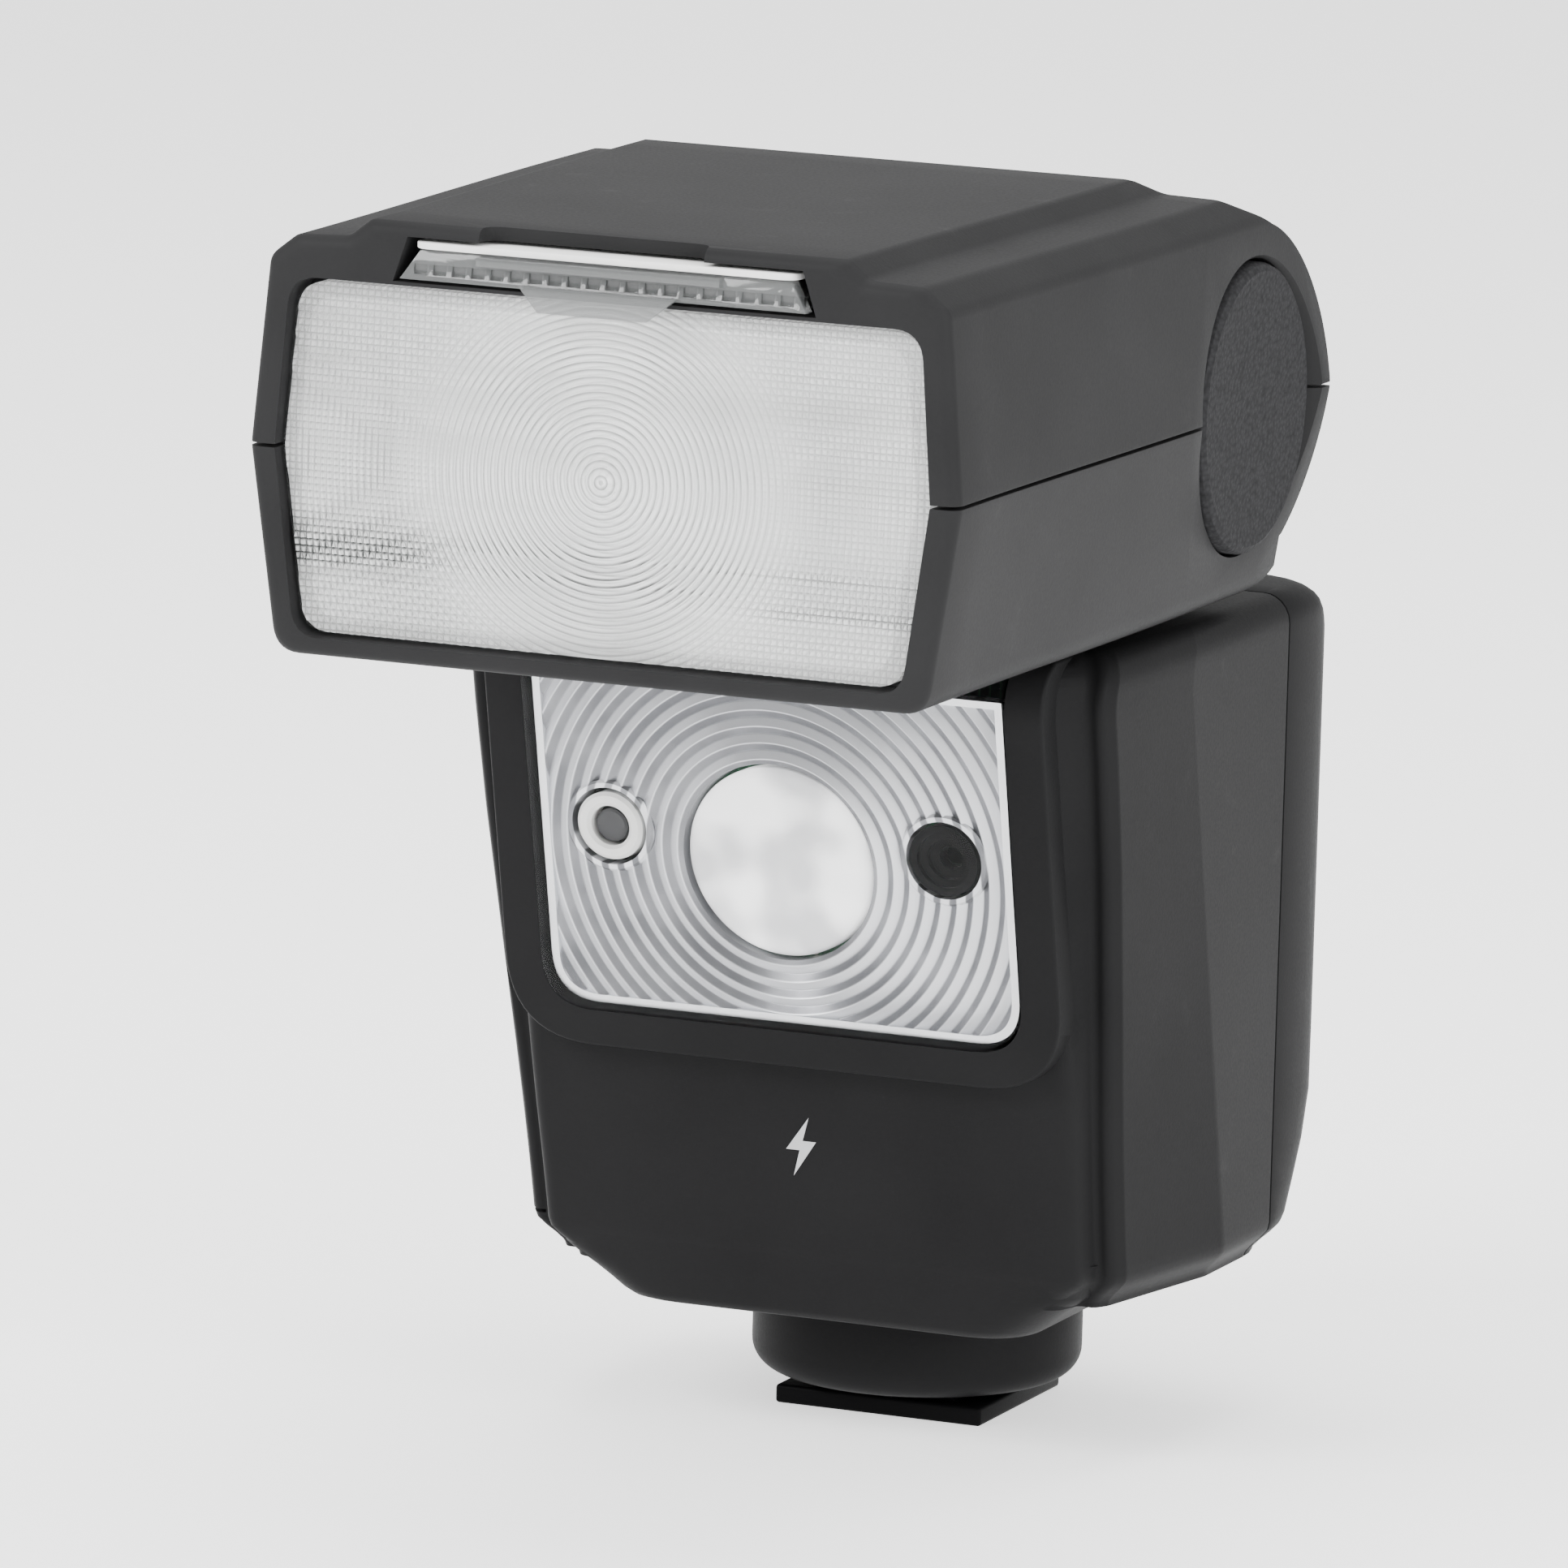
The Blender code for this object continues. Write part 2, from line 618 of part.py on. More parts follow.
def make_head_caps(mats, tilt):
    """The right pivot cap, and the tilt release key in the left one."""
    centre = (0, PIVOT_Y, PIVOT_Z)
    turned(
        "pivot_cap", "x", centre, [(CAP_RADIUS, 27.8), (CAP_RADIUS, 30.5), (CAP_RADIUS - 0.9, 31.1)],
        mats["cap"], 48, at=(30, PIVOT_Y, PIVOT_Z), parent=tilt,
    )
    tube("release_surround", "x", centre, CAP_RADIUS, 8.0, -30.9, -27.8, mats["plastic"], 40,
         at=(-30, PIVOT_Y, PIVOT_Z), parent=tilt)
    turned(
        "tilt_release", "x", centre, [(7.6, -28.0), (7.6, -31.6), (6.9, -32.3)],
        mats["cap"], 40, at=(-30, PIVOT_Y, PIVOT_Z), parent=tilt,
    )


def make_flash_window(mats, tilt):
    """The Fresnel window."""
    at = (0, LENS_FACE, HEAD_SEAM)
    return upright_prism(
        "fresnel_window", lens_loop(0.1), LENS_FACE, LENS_FACE + 2.2, mats["clear"], at=at, parent=tilt
    )


def make_panel_and_card(mats, tilt):
    """The wide panel with its lip and pull tab, and the bounce card above it."""
    at = (0, HEAD_FRONT, 103.5)
    rear = PANEL_REAR + 0.6
    panel = box("wide_panel", (-16.8, -70.4, 102.4), (16.8, rear, 103.4), mats["clear"], at=at, parent=tilt)
    rings = []
    for z, half, y in ((102.3, PANEL_HALF, -71.3), (104.6, 15.9, -70.7)):
        rings.append([(-half, y, z), (half, y, z), (half, y + 1.2, z), (-half, y + 1.2, z)])
    boolean(panel, loft("panel_lip", rings), "UNION")
    tab = [[(-6.9, y, 102.6), (6.6, y, 102.6), (4.0, y, 100.6), (-5.2, y, 100.6)] for y in (-71.95, -71.25)]
    boolean(panel, loft("panel_tab", tab), "UNION")
    box("bounce_card", (-16.4, -71.2, 104.75), (16.4, rear, 105.3), mats["white"], at=at, parent=tilt)
    box("card_tray", (-20.0, -66.8, 100.9), (20.0, -27.0, 101.6), mats["black"], at=at, parent=tilt)


def bowl_ring(y, half, high, grow=0.0):
    """A section across the flash reflector's bowl."""
    reach = high + grow
    corners = mirrored([(half + grow, BOWL_Z - reach, 1.5), (half + grow, BOWL_Z + reach, 1.5)])
    return [(x, y, z) for x, z in rounded(corners, 2)]


def make_head_inside(mats, tilt):
    """Reflector, flash tube, zoom carriage, lead screw, motor, rods and trigger board."""
    at = (0, -50, HEAD_SEAM)
    outer = [
        bowl_ring(-57.5, 23.0, 11.0, 0.8),
        bowl_ring(-47.0, 21.5, 7.5, 0.8),
        bowl_ring(-41.0, 20.5, 3.4, 0.8),
    ]
    reflector = loft("flash_reflector", outer, mats["silver"], at=at, parent=tilt)
    inner = [bowl_ring(-58.5, 23.2, 11.3), bowl_ring(-47.0, 21.5, 7.5), bowl_ring(-40.0, 20.2, 3.1)]
    boolean(reflector, loft("reflector_bowl", inner))
    cylinder("flash_tube", "x", (0, -43.2, BOWL_Z), 2.1, -19.2, 19.2, mats["glass"], 20, at=at, parent=tilt)
    carriage = box(
        "zoom_carriage", (-22, -38.6, 80.5), (27.2, -33.6, 93.5), mats["black"], at=at, parent=tilt
    )
    foot = box("carriage_foot", (-26.9, -38.6, 77.2), (26.9, -33.6, 81.0))
    for x in ROD_XS:
        boolean(foot, cylinder("foot_bore", "y", (x, 0, ROD_Z), 1.3, -70, -20, sides=16))
    boolean(carriage, foot, "UNION")
    nut = cylinder("screw_bore", "y", (SCREW_X, 0, SCREW_Z), 1.9, -70, -20, sides=16)
    boolean(carriage, nut)
    for i, x in enumerate(ROD_XS):
        cylinder(f"zoom_rod_{i + 1}", "y", (x, 0, ROD_Z), 1.0, -64.0, -26.6, mats["steel"], 16,
                 at=(x, -44, ROD_Z), parent=tilt)
    box("trigger_board", (-22, -32.6, 95.0), (22, -27.0, 96.0), mats["board"], at=at, parent=tilt)
    cylinder("lead_screw", "y", (SCREW_X, 0, SCREW_Z), 1.5, -52.0, -31.0, mats["steel"], 16,
             at=(SCREW_X, -40, SCREW_Z), parent=tilt)
    cylinder("zoom_motor", "y", (SCREW_X, 0, SCREW_Z), 3.2, -30.6, -26.6, mats["steel"], 24,
             at=(SCREW_X, -30, SCREW_Z), parent=tilt)


# ---------------------------------------------------------------- shoe


def make_shoe(mats):
    """Collar, foot, contacts, lock lever and lock pin."""
    profile = [(COLLAR_RADIUS, COLLAR_TOP)]
    for i in range(6):
        angle = math.radians(90 * i / 5)
        profile.append(
            (COLLAR_RADIUS - 2.4 + 2.4 * math.cos(angle), COLLAR_BOTTOM + 2.4 - 2.4 * math.sin(angle))
        )
    collar = turned("shoe_collar", "z", (0, 0, 0), profile, mats["plastic"], 64)
    boolean(collar, cylinder("collar_hollow", "z", (0, 0, 0), COLLAR_RADIUS - COLLAR_WALL, 4.2, 12, sides=48))
    boolean(collar, box("collar_neck", (-6.9, -7.4, 0), (6.9, 7.4, 6)))
    boolean(collar, box("lever_slot", (-9.5, 6, 5.4), (9.5, 20, 8.6)))
    foot = box("shoe_foot", (-FOOT_HALF_WIDTH, -FOOT_HALF_LENGTH + 0.6, 0),
               (FOOT_HALF_WIDTH, FOOT_HALF_LENGTH + 0.4, FOOT_THICK), mats["black"])
    boolean(foot, box("foot_neck", (-NECK_HALF, -6.9, 1), (NECK_HALF, 6.9, 9.0)), "UNION")
    for x, y in CONTACTS:
        boolean(foot, cylinder("contact_bore", "z", (x, y, 0), CONTACT_BORE, -1, 20, sides=20))
    boolean(foot, cylinder("pin_bore", "z", (0, LOCK_PIN_Y, 0), LOCK_PIN_BORE, -1, 20, sides=20))
    for i, (x, y) in enumerate(CONTACTS):
        cylinder(f"contact_pin_{i + 1}", "z", (x, y, 0), 0.95, 0.1, 9.2, mats["gold"], 20, at=(x, y, 0))
    lever = tube("lock_lever", "z", (0, 0, 0), 11.4, 9.6, 6.0, 8.0, mats["plastic"], 40, at=(0, 0, 7))
    boolean(lever, box("lever_tab", (-2.6, 10.6, 6.0), (2.6, 17.5, 8.0)), "UNION")
    cylinder("lock_pin", "z", (0, LOCK_PIN_Y, 0), 0.9, 0.3, 8.6, mats["steel"], 20, at=(0, LOCK_PIN_Y, 4))


def make_materials():
    """One material for each kind of surface."""
    return {
        "plastic": material("charcoal_plastic", (0.045, 0.045, 0.05), 0.55),
        "cap": material("grained_cap", (0.05, 0.05, 0.055), 0.7),
        "black": material("black_plastic", (0.012, 0.012, 0.013), 0.45),
        "rubber": material("soft_key", (0.03, 0.03, 0.032), 0.75),
        "clear": material("clear_plastic", (0.85, 0.88, 0.87), 0.1, 0.0, 0.9),
        "frosted": material("frosted_lens", (0.8, 0.82, 0.82), 0.5, 0.0, 0.4),
        "glass": material("tube_glass", (0.9, 0.92, 0.95), 0.05, 0.0, 0.9),
        "white": material("white_plastic", (0.82, 0.82, 0.8), 0.5),
        "grey": material("sensor_grey", (0.3, 0.3, 0.31), 0.35),
        "silver": material("silver_reflector", (0.8, 0.8, 0.82), 0.2, 1.0),
        "steel": material("bright_steel", (0.6, 0.6, 0.62), 0.25, 1.0),
        "nickel": material("nickel_spring", (0.65, 0.62, 0.56), 0.3, 1.0),
        "gold": material("contact_gold", (0.85, 0.65, 0.3), 0.25, 1.0),
        "board": material("circuit_board", (0.02, 0.12, 0.06), 0.5),
        "cell": material("battery_jacket", (0.08, 0.09, 0.12), 0.35),
        "sleeve": material("capacitor_sleeve", (0.02, 0.02, 0.03), 0.3),
        "lcd": material("screen_glass", (0.35, 0.4, 0.36), 0.25),
        "lamp_red": material("test_key_tint", (0.35, 0.05, 0.03), 0.4),
    }


def main():
    """Builds the whole flash."""
    clear_scene()
    mats = make_materials()
    tilt = empty("tilt_axis", (0, PIVOT_Y, PIVOT_Z))
    make_shoe(mats)
    make_housing(mats)
    make_rear_cover(mats)
    make_lamp(mats)
    make_batteries(mats)
    make_electronics(mats)
    make_keys(mats)
    make_door(mats)
    make_neck(mats)
    make_head_shells(mats, tilt)
    make_head_caps(mats, tilt)
    make_flash_window(mats, tilt)
    make_panel_and_card(mats, tilt)
    make_head_inside(mats, tilt)


main()
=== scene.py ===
"""Visual model of a compact hot-shoe flash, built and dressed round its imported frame.

Lengths in this file are millimetres unless a name says otherwise; MM turns them into Blender's metres.
"""

import json
import logging
import math
from collections.abc import Callable, Sequence
from dataclasses import dataclass
from enum import Enum

import bmesh
import bpy
from mathutils import Matrix, Vector

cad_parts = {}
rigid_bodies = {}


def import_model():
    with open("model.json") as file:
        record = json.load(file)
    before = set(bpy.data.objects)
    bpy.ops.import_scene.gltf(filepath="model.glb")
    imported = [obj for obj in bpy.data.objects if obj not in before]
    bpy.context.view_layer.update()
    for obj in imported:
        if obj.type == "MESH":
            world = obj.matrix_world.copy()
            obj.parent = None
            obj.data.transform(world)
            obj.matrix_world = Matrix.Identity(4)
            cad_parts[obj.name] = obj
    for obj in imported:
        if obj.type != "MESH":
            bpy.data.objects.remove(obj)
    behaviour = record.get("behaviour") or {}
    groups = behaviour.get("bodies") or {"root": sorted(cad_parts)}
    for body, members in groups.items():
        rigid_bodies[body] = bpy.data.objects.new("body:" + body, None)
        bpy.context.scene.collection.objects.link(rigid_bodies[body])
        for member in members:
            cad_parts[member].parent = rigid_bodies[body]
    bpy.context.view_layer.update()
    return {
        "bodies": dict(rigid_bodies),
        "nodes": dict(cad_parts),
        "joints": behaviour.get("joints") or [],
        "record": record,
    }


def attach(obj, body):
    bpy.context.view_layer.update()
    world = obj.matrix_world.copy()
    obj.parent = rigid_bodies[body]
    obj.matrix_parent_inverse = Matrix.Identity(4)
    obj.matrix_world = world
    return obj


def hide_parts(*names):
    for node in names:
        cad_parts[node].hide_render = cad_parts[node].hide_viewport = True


LOG = logging.getLogger("flash")
MM = 0.001

Loop = list[tuple[float, float]]
Ring = list[tuple[float, float, float]]
Colour = tuple[float, float, float]


# ---------------------------------------------------------------- shader graph


class Socket:
    """An output socket that takes part in Python arithmetic."""

    def __init__(self, graph: "Graph", link: bpy.types.NodeSocket) -> None:
        """Keeps the graph and the socket.

        Args:
            graph: The graph that owns the socket.
            link: The node's output socket.
        """
        self.graph = graph
        self.link = link

    def __add__(self, other: "Value") -> "Socket":
        """Adds."""
        return self.graph.math("ADD", self, other)

    __radd__ = __add__

    def __mul__(self, other: "Value") -> "Socket":
        """Multiplies."""
        return self.graph.math("MULTIPLY", self, other)

    __rmul__ = __mul__

    def __sub__(self, other: "Value") -> "Socket":
        """Subtracts."""
        return self.graph.math("SUBTRACT", self, other)

    def __rsub__(self, other: "Value") -> "Socket":
        """Subtracts from a number."""
        return self.graph.math("SUBTRACT", other, self)

    def __truediv__(self, other: "Value") -> "Socket":
        """Divides."""
        return self.graph.math("DIVIDE", self, other)

    def __gt__(self, other: "Value") -> "Socket":
        """Gives 1 where this is greater."""
        return self.graph.math("GREATER_THAN", self, other)

    def __lt__(self, other: "Value") -> "Socket":
        """Gives 1 where this is less."""
        return self.graph.math("LESS_THAN", self, other)

    def fn(self, operation: str, other: "Value" = 0.0) -> "Socket":
        """Applies any other Math operation.

        Args:
            operation: The Math node's operation.
            other: Its second value.

        Returns:
            The result.
        """
        return self.graph.math(operation, self, other)


Value = Socket | float


class Graph:
    """A material's node tree with one Principled shader."""

    def __init__(self, name: str) -> None:
        """Starts a material.

        Args:
            name: The material's name.
        """
        self.material = bpy.data.materials.new(name)
        self.material.use_nodes = True
        self.tree = self.material.node_tree
        self.shader = self.tree.nodes["Principled BSDF"]

    def node(
        self,
        kind: str,
        settings: dict[str, object] | None = None,
        inputs: dict[str | int, object] | None = None,
    ) -> bpy.types.Node:
        """Adds a node of any type.

        Args:
            kind: The node's type name.
            settings: Properties set on the node before its sockets.
            inputs: Values or sockets for its inputs, by name or place.

        Returns:
            The node.
        """
        made = self.tree.nodes.new(kind)
        for key, value in (settings or {}).items():
            setattr(made, key, value)
        for key, value in (inputs or {}).items():
            self.feed(made.inputs[key], value)
        return made

    def feed(self, target: bpy.types.NodeSocket, value: object) -> None:
        """Links or sets one input.

        Args:
            target: The input socket.
            value: A Socket to link, or a plain value.
        """
        if isinstance(value, Socket):
            self.tree.links.new(value.link, target)
        else:
            target.default_value = value

    def math(self, operation: str, a: Value, b: Value = 0.0) -> Socket:
        """Adds a Math node.

        Args:
            operation: The node's operation.
            a: First value.
            b: Second value.

        Returns:
            Its result.
        """
        return Socket(self, self.node("ShaderNodeMath", {"operation": operation}, {0: a, 1: b}).outputs[0])

    def mix(self, factor: Value, first: object, second: object) -> Socket:
        """Mixes two colours.

        Args:
            factor: Share of the second colour.
            first: Colour or socket.
            second: Colour or socket.

        Returns:
            The mixed colour.
        """
        made = self.node("ShaderNodeMix", {"data_type": "RGBA"})
        colours = [(*c, 1.0) if isinstance(c, tuple) and len(c) == 3 else c for c in (first, second)]
        self.feed(made.inputs[0], factor)
        self.feed(made.inputs[6], colours[0])
        self.feed(made.inputs[7], colours[1])
        return Socket(self, made.outputs[2])

    def place(self) -> Socket:
        """Gives the object coordinates, in metres."""
        return Socket(self, self.node("ShaderNodeTexCoord").outputs["Object"])

    def axis(self, name: str) -> Socket:
        """Gives one object coordinate.

        Args:
            name: X, Y or Z.

        Returns:
            The coordinate in metres.
        """
        split = self.node("ShaderNodeSeparateXYZ", None, {0: self.place()})
        return Socket(self, split.outputs[name])

    def noise(self, scale: float, detail: float = 2.0, rough: float = 0.5) -> Socket:
        """Adds a noise over the object.

        Args:
            scale: Features per metre.
            detail: Octaves.
            rough: Strength of the finer octaves.

        Returns:
            A value about 0.5.
        """
        inputs = {"Vector": self.place(), "Scale": scale, "Detail": detail, "Roughness": rough}
        return Socket(self, self.node("ShaderNodeTexNoise", None, inputs).outputs["Fac"])

    def streaks(self, along: float, across: float) -> Socket:
        """Adds a noise drawn out along X.

        Args:
            along: Features per metre along X.
            across: Features per metre along Z.

        Returns:
            A value about 0.5.
        """
        scaled = self.node(
            "ShaderNodeVectorMath", {"operation": "MULTIPLY"}, {0: self.place(), 1: (along, 1.0, across)}
        )
        inputs = {"Vector": Socket(self, scaled.outputs[0]), "Scale": 1.0, "Detail": 3.0}
        return Socket(self, self.node("ShaderNodeTexNoise", None, inputs).outputs["Fac"])

    def cells(self, scale: float) -> Socket:
        """Adds Voronoi cells.

        Args:
            scale: Cells per metre.

        Returns:
            Distance to the nearest cell's centre.
        """
        inputs = {"Vector": self.place(), "Scale": scale}
        return Socket(self, self.node("ShaderNodeTexVoronoi", None, inputs).outputs["Distance"])

    def ramp(self, value: Value, low: float, high: float) -> Socket:
        """Maps a stretch of values to 0..1 with a smooth step.

        Args:
            value: Input.
            low: Value that gives 0.
            high: Value that gives 1.

        Returns:
            The mapped value.
        """
        settings = {"interpolation_type": "SMOOTHSTEP"}
        inputs = {"Value": value, "From Min": low, "From Max": high}
        return Socket(self, self.node("ShaderNodeMapRange", settings, inputs).outputs["Result"])

    def bump(self, height: Socket, distance_mm: float, strength: float = 1.0) -> None:
        """Feeds a height to the shader's normal.

        Args:
            height: Height, 0 to 1.
            distance_mm: Depth of a full step.
            strength: Strength of the effect.
        """
        inputs = {"Strength": strength, "Distance": distance_mm * MM, "Height": height}
        made = self.node("ShaderNodeBump", None, inputs)
        self.tree.links.new(made.outputs[0], self.shader.inputs["Normal"])

    def set(self, **values: object) -> "Graph":
        """Sets or links the Principled shader's inputs.

        Args:
            values: Input names with underscores for spaces.

        Returns:
            This graph.
        """
        for key, value in values.items():
            if isinstance(value, tuple) and len(value) == 3:
                value = (*value, 1.0)
            self.feed(self.shader.inputs[key.replace("_", " ")], value)
        return self


# ---------------------------------------------------------------- finishes


@dataclass(frozen=True)
class MouldedPlastic:
    """Spark-eroded moulded plastic, matt with a fine grain."""

    name: str
    colour: Colour = (0.030, 0.030, 0.032)
    roughness: float = 0.42
    grain: float = 3600.0
    depth: float = 0.02
    mottle: float = 0.16
    gloss: float = 0.07

    def build(self) -> bpy.types.Material:
        """Makes the material.

        Returns:
            The material.
        """
        g = Graph(self.name)
        fine = g.noise(self.grain, 3.0, 0.6)
        cloud = g.noise(70.0, 3.0, 0.5)
        wear = g.ramp(g.noise(260.0, 5.0, 0.65), 0.58, 0.78)
        light = tuple(min(1.0, c * (1 + self.mottle * 3)) for c in self.colour)
        dark = tuple(c * (1 - self.mottle) for c in self.colour)
        shade = g.mix(cloud, dark, light)
        shade = g.mix(fine * 0.35, shade, tuple(c * 1.5 for c in self.colour))
        g.set(Base_Color=shade, Roughness=self.roughness + (fine - 0.5) * 0.16 - wear * 0.05)
        g.set(Specular_IOR_Level=self.gloss)
        g.bump(fine, self.depth, 0.55)
        return g.material


@dataclass(frozen=True)
class LeatheredPlastic:
    """Coarser pebbled plastic of the round cheek caps."""

    name: str
    colour: Colour = (0.02, 0.02, 0.021)

    def build(self) -> bpy.types.Material:
        """Makes the material.

        Returns:
            The material.
        """
        g = Graph(self.name)
        pebble = g.cells(2400.0)
        fine = g.noise(5200.0, 2.0)
        pale, deep = tuple(c * 1.45 for c in self.colour), tuple(c * 0.7 for c in self.colour)
        g.set(Base_Color=g.mix(pebble, pale, deep))
        g.set(Roughness=0.6 + fine * 0.2, Specular_IOR_Level=0.03)
        g.bump(pebble * -1.0 + fine * 0.3, 0.07, 0.8)
        return g.material


@dataclass(frozen=True)
class ClearPlastic:
    """Clear moulded plastic, seen as thin: it lets light straight through and shows its gloss."""

    name: str
    tint: Colour = (0.86, 0.89, 0.88)
    alpha: float = 0.3
    roughness: float = 0.06
    ripple: float = 0.012

    def build(self) -> bpy.types.Material:
        """Makes the material.

        Returns:
            The material.
        """
        g = Graph(self.name)
        flow = g.noise(120.0, 2.0)
        dust = g.ramp(g.noise(5200.0, 2.0), 0.66, 0.8)
        g.set(Base_Color=g.mix(flow, self.tint, tuple(c * 0.9 for c in self.tint)))
        g.set(Roughness=self.roughness + dust * 0.12, Alpha=self.alpha + dust * 0.05 + (flow - 0.5) * 0.06)
        g.set(Specular_IOR_Level=0.7)
        g.bump(flow, self.ripple * 10, 0.25)
        return g.material


@dataclass(frozen=True)
class PrismPlastic:
    """The Fresnel window: ring grooves and a fine prism grid in clear plastic, with painted shade streaks and
    a painted glow.
    """

    name: str
    centre: tuple[float, float]
    ring_pitch: float
    grid_pitch: float

    def build(self) -> bpy.types.Material:
        """Makes the material.

        Returns:
            The material.
        """
        g = Graph(self.name)
        x = g.axis("X") - self.centre[0] * MM
        z = g.axis("Z") - self.centre[1] * MM
        radius = (x * x + z * z).fn("SQRT")
        rings = (radius / (self.ring_pitch * MM)).fn("FRACT")
        across = (x / (self.grid_pitch * MM)).fn("FRACT")
        along = (z / (self.grid_pitch * MM)).fn("FRACT")
        outer = g.ramp(radius, 0.010, 0.019)
        grid = g.math("MAXIMUM", g.ramp(across, 0.5, 0.95), g.ramp(along, 0.4, 0.9)) * outer
        edge = g.ramp(rings, 0.45, 0.9) * (1 - outer * 0.4)
        cloud, painted_streak = g.noise(60.0, 3.0), g.streaks(22.0, 520.0)
        # Painted shade: a level band below the centre where the lines and the streaks are drawn stronger.
        deep = g.ramp(z, -0.0100, -0.0092) * (1 - g.ramp(z, -0.0075, -0.0035))
        lines = g.math("MAXIMUM", edge * 0.95, grid * 0.8) * (0.8 + deep * 0.2)
        # Painted shade streaks, drawn out along X: darker colour, higher alpha and less painted glow.
        band = g.ramp(painted_streak, 0.46, 0.6) * (0.25 + deep * 0.75)
        pale = g.mix(lines * 0.92 + band * 0.3, (0.97, 0.985, 0.975), (0.03, 0.033, 0.032))
        g.set(Base_Color=pale, Alpha=0.34 + lines * 0.3 + band * 0.4 + (cloud - 0.5) * 0.5)
        g.set(Roughness=0.1 + cloud * 0.14, Specular_IOR_Level=0.8)
        # Painted glow: the window gives off white light of its own between the lines and the streaks.
        painted_glow = g.mix(lines * 1.1 + band * 0.5, (1.0, 1.0, 1.0), (0.0, 0.0, 0.0))
        g.set(Emission_Color=painted_glow, Emission_Strength=0.6)
        g.bump(rings * 0.7 + across * 0.15 * outer + along * 0.15 * outer, 0.12, 0.7)
        return g.material


@dataclass(frozen=True)
class Metallised:
    """Vacuum-metallised plastic, bright with a soft haze."""

    name: str
    colour: Colour = (0.86, 0.87, 0.89)
    roughness: float = 0.2
    metallic: float = 0.85

    def build(self) -> bpy.types.Material:
        """Makes the material.

        Returns:
            The material.
        """
        g = Graph(self.name)
        cloud = g.noise(240.0, 4.0, 0.6)
        fine = g.noise(3000.0, 2.0)
        g.set(Base_Color=g.mix(cloud, self.colour, tuple(c * 0.86 for c in self.colour)))
        g.set(Roughness=self.roughness + (cloud - 0.4) * 0.2, Metallic=self.metallic)
        g.bump(fine, 0.01, 0.25)
        return g.material


@dataclass(frozen=True)
class RibbedReflector:
    """Metallised ribs in circles, with painted shade on the slopes that face inward."""

    name: str
    centre_z: float
    start: float
    pitch: float
    bright: Colour = (0.8, 0.81, 0.84)
    # Colour of the painted shade on the inward slopes.
    dark: Colour = (0.15, 0.153, 0.165)

    def build(self) -> bpy.types.Material:
        """Makes the material.

        Returns:
            The material.
        """
        g = Graph(self.name)
        x, z = g.axis("X"), g.axis("Z") - self.centre_z * MM
        radius = (x * x + z * z).fn("SQRT")
        turn = ((radius - self.start * MM) / (self.pitch * MM)).fn("FRACT")
        # Painted shade on the inward-facing slope of each rib.
        painted_slope_shade = g.ramp(turn, 0.42, 0.56) - g.ramp(turn, 0.88, 1.0)
        cloud = g.noise(150.0, 3.0)
        shade = g.mix(painted_slope_shade * (0.55 + cloud * 0.75), self.bright, self.dark)
        g.set(Base_Color=shade, Metallic=0.45 + painted_slope_shade * 0.3, Roughness=0.24 + cloud * 0.16)
        g.bump(cloud, 0.02, 0.2)
        return g.material


@dataclass(frozen=True)
class BrushedMetal:
    """Turned or rolled metal with fine lines across one axis."""

    name: str
    colour: Colour = (0.55, 0.55, 0.57)
    roughness: float = 0.26

    def build(self) -> bpy.types.Material:
        """Makes the material.

        Returns:
            The material.
        """
        g = Graph(self.name)
        inputs = {"Vector": g.place(), "Scale": 900.0, "Distortion": 3.0, "Detail": 2.0}
        lines = Socket(g, g.node("ShaderNodeTexWave", {"bands_direction": "DIAGONAL"}, inputs).outputs["Fac"])
        stain = g.noise(420.0, 4.0)
        g.set(Base_Color=g.mix(stain, self.colour, tuple(c * 0.72 for c in self.colour)), Metallic=1.0)
        g.set(Roughness=self.roughness + lines * 0.12)
        g.bump(lines, 0.008, 0.3)
        return g.material


@dataclass(frozen=True)
class SoftKey:
    """Silicone key with a velvety surface."""

    name: str
    colour: Colour = (0.012, 0.012, 0.013)

    def build(self) -> bpy.types.Material:
        """Makes the material.

        Returns:
            The material.
        """
        g = Graph(self.name)
        fine = g.noise(4200.0, 3.0)
        dust = g.ramp(g.noise(900.0, 5.0), 0.56, 0.75)
        g.set(Base_Color=g.mix(dust * 0.5, self.colour, tuple(c * 2.2 for c in self.colour)))
        g.set(Roughness=0.66 + fine * 0.16, Specular_IOR_Level=0.12)
        g.bump(fine, 0.02, 0.5)
        return g.material


@dataclass(frozen=True)
class CircuitBoard:
    """Solder-masked board with tracks and pads."""

    name: str

    def build(self) -> bpy.types.Material:
        """Makes the material.

        Returns:
            The material.
        """
        g = Graph(self.name)
        inputs = {"Vector": g.place(), "Scale": 520.0, "Mortar Size": 0.045, "Bias": -0.2}
        track = Socket(g, g.node("ShaderNodeTexBrick", {"offset": 0.37}, inputs).outputs["Fac"])
        pads = g.cells(430.0) < 0.16
        mask = g.mix(track, (0.012, 0.10, 0.045), (0.03, 0.2, 0.08))
        g.set(Base_Color=g.mix(pads, mask, (0.7, 0.68, 0.6)))
        g.set(Metallic=pads * 0.9, Roughness=0.42 - pads * 0.15)
        g.bump(track + pads, 0.03, 0.5)
        return g.material


@dataclass(frozen=True)
class PrintedFilm:
    """Shrink film with printed bands along X."""

    name: str
    base: Colour
    band: Colour
    period: float

    def build(self) -> bpy.types.Material:
        """Makes the material.

        Returns:
            The material.
        """
        g = Graph(self.name)
        along = ((g.axis("X") / (self.period * MM)).fn("FRACT") > 0.78) * 1.0
        cloud = g.noise(300.0, 3.0)
        g.set(Base_Color=g.mix(along, self.base, self.band), Roughness=0.28 + cloud * 0.16)
        g.bump(cloud, 0.04, 0.2)
        return g.material


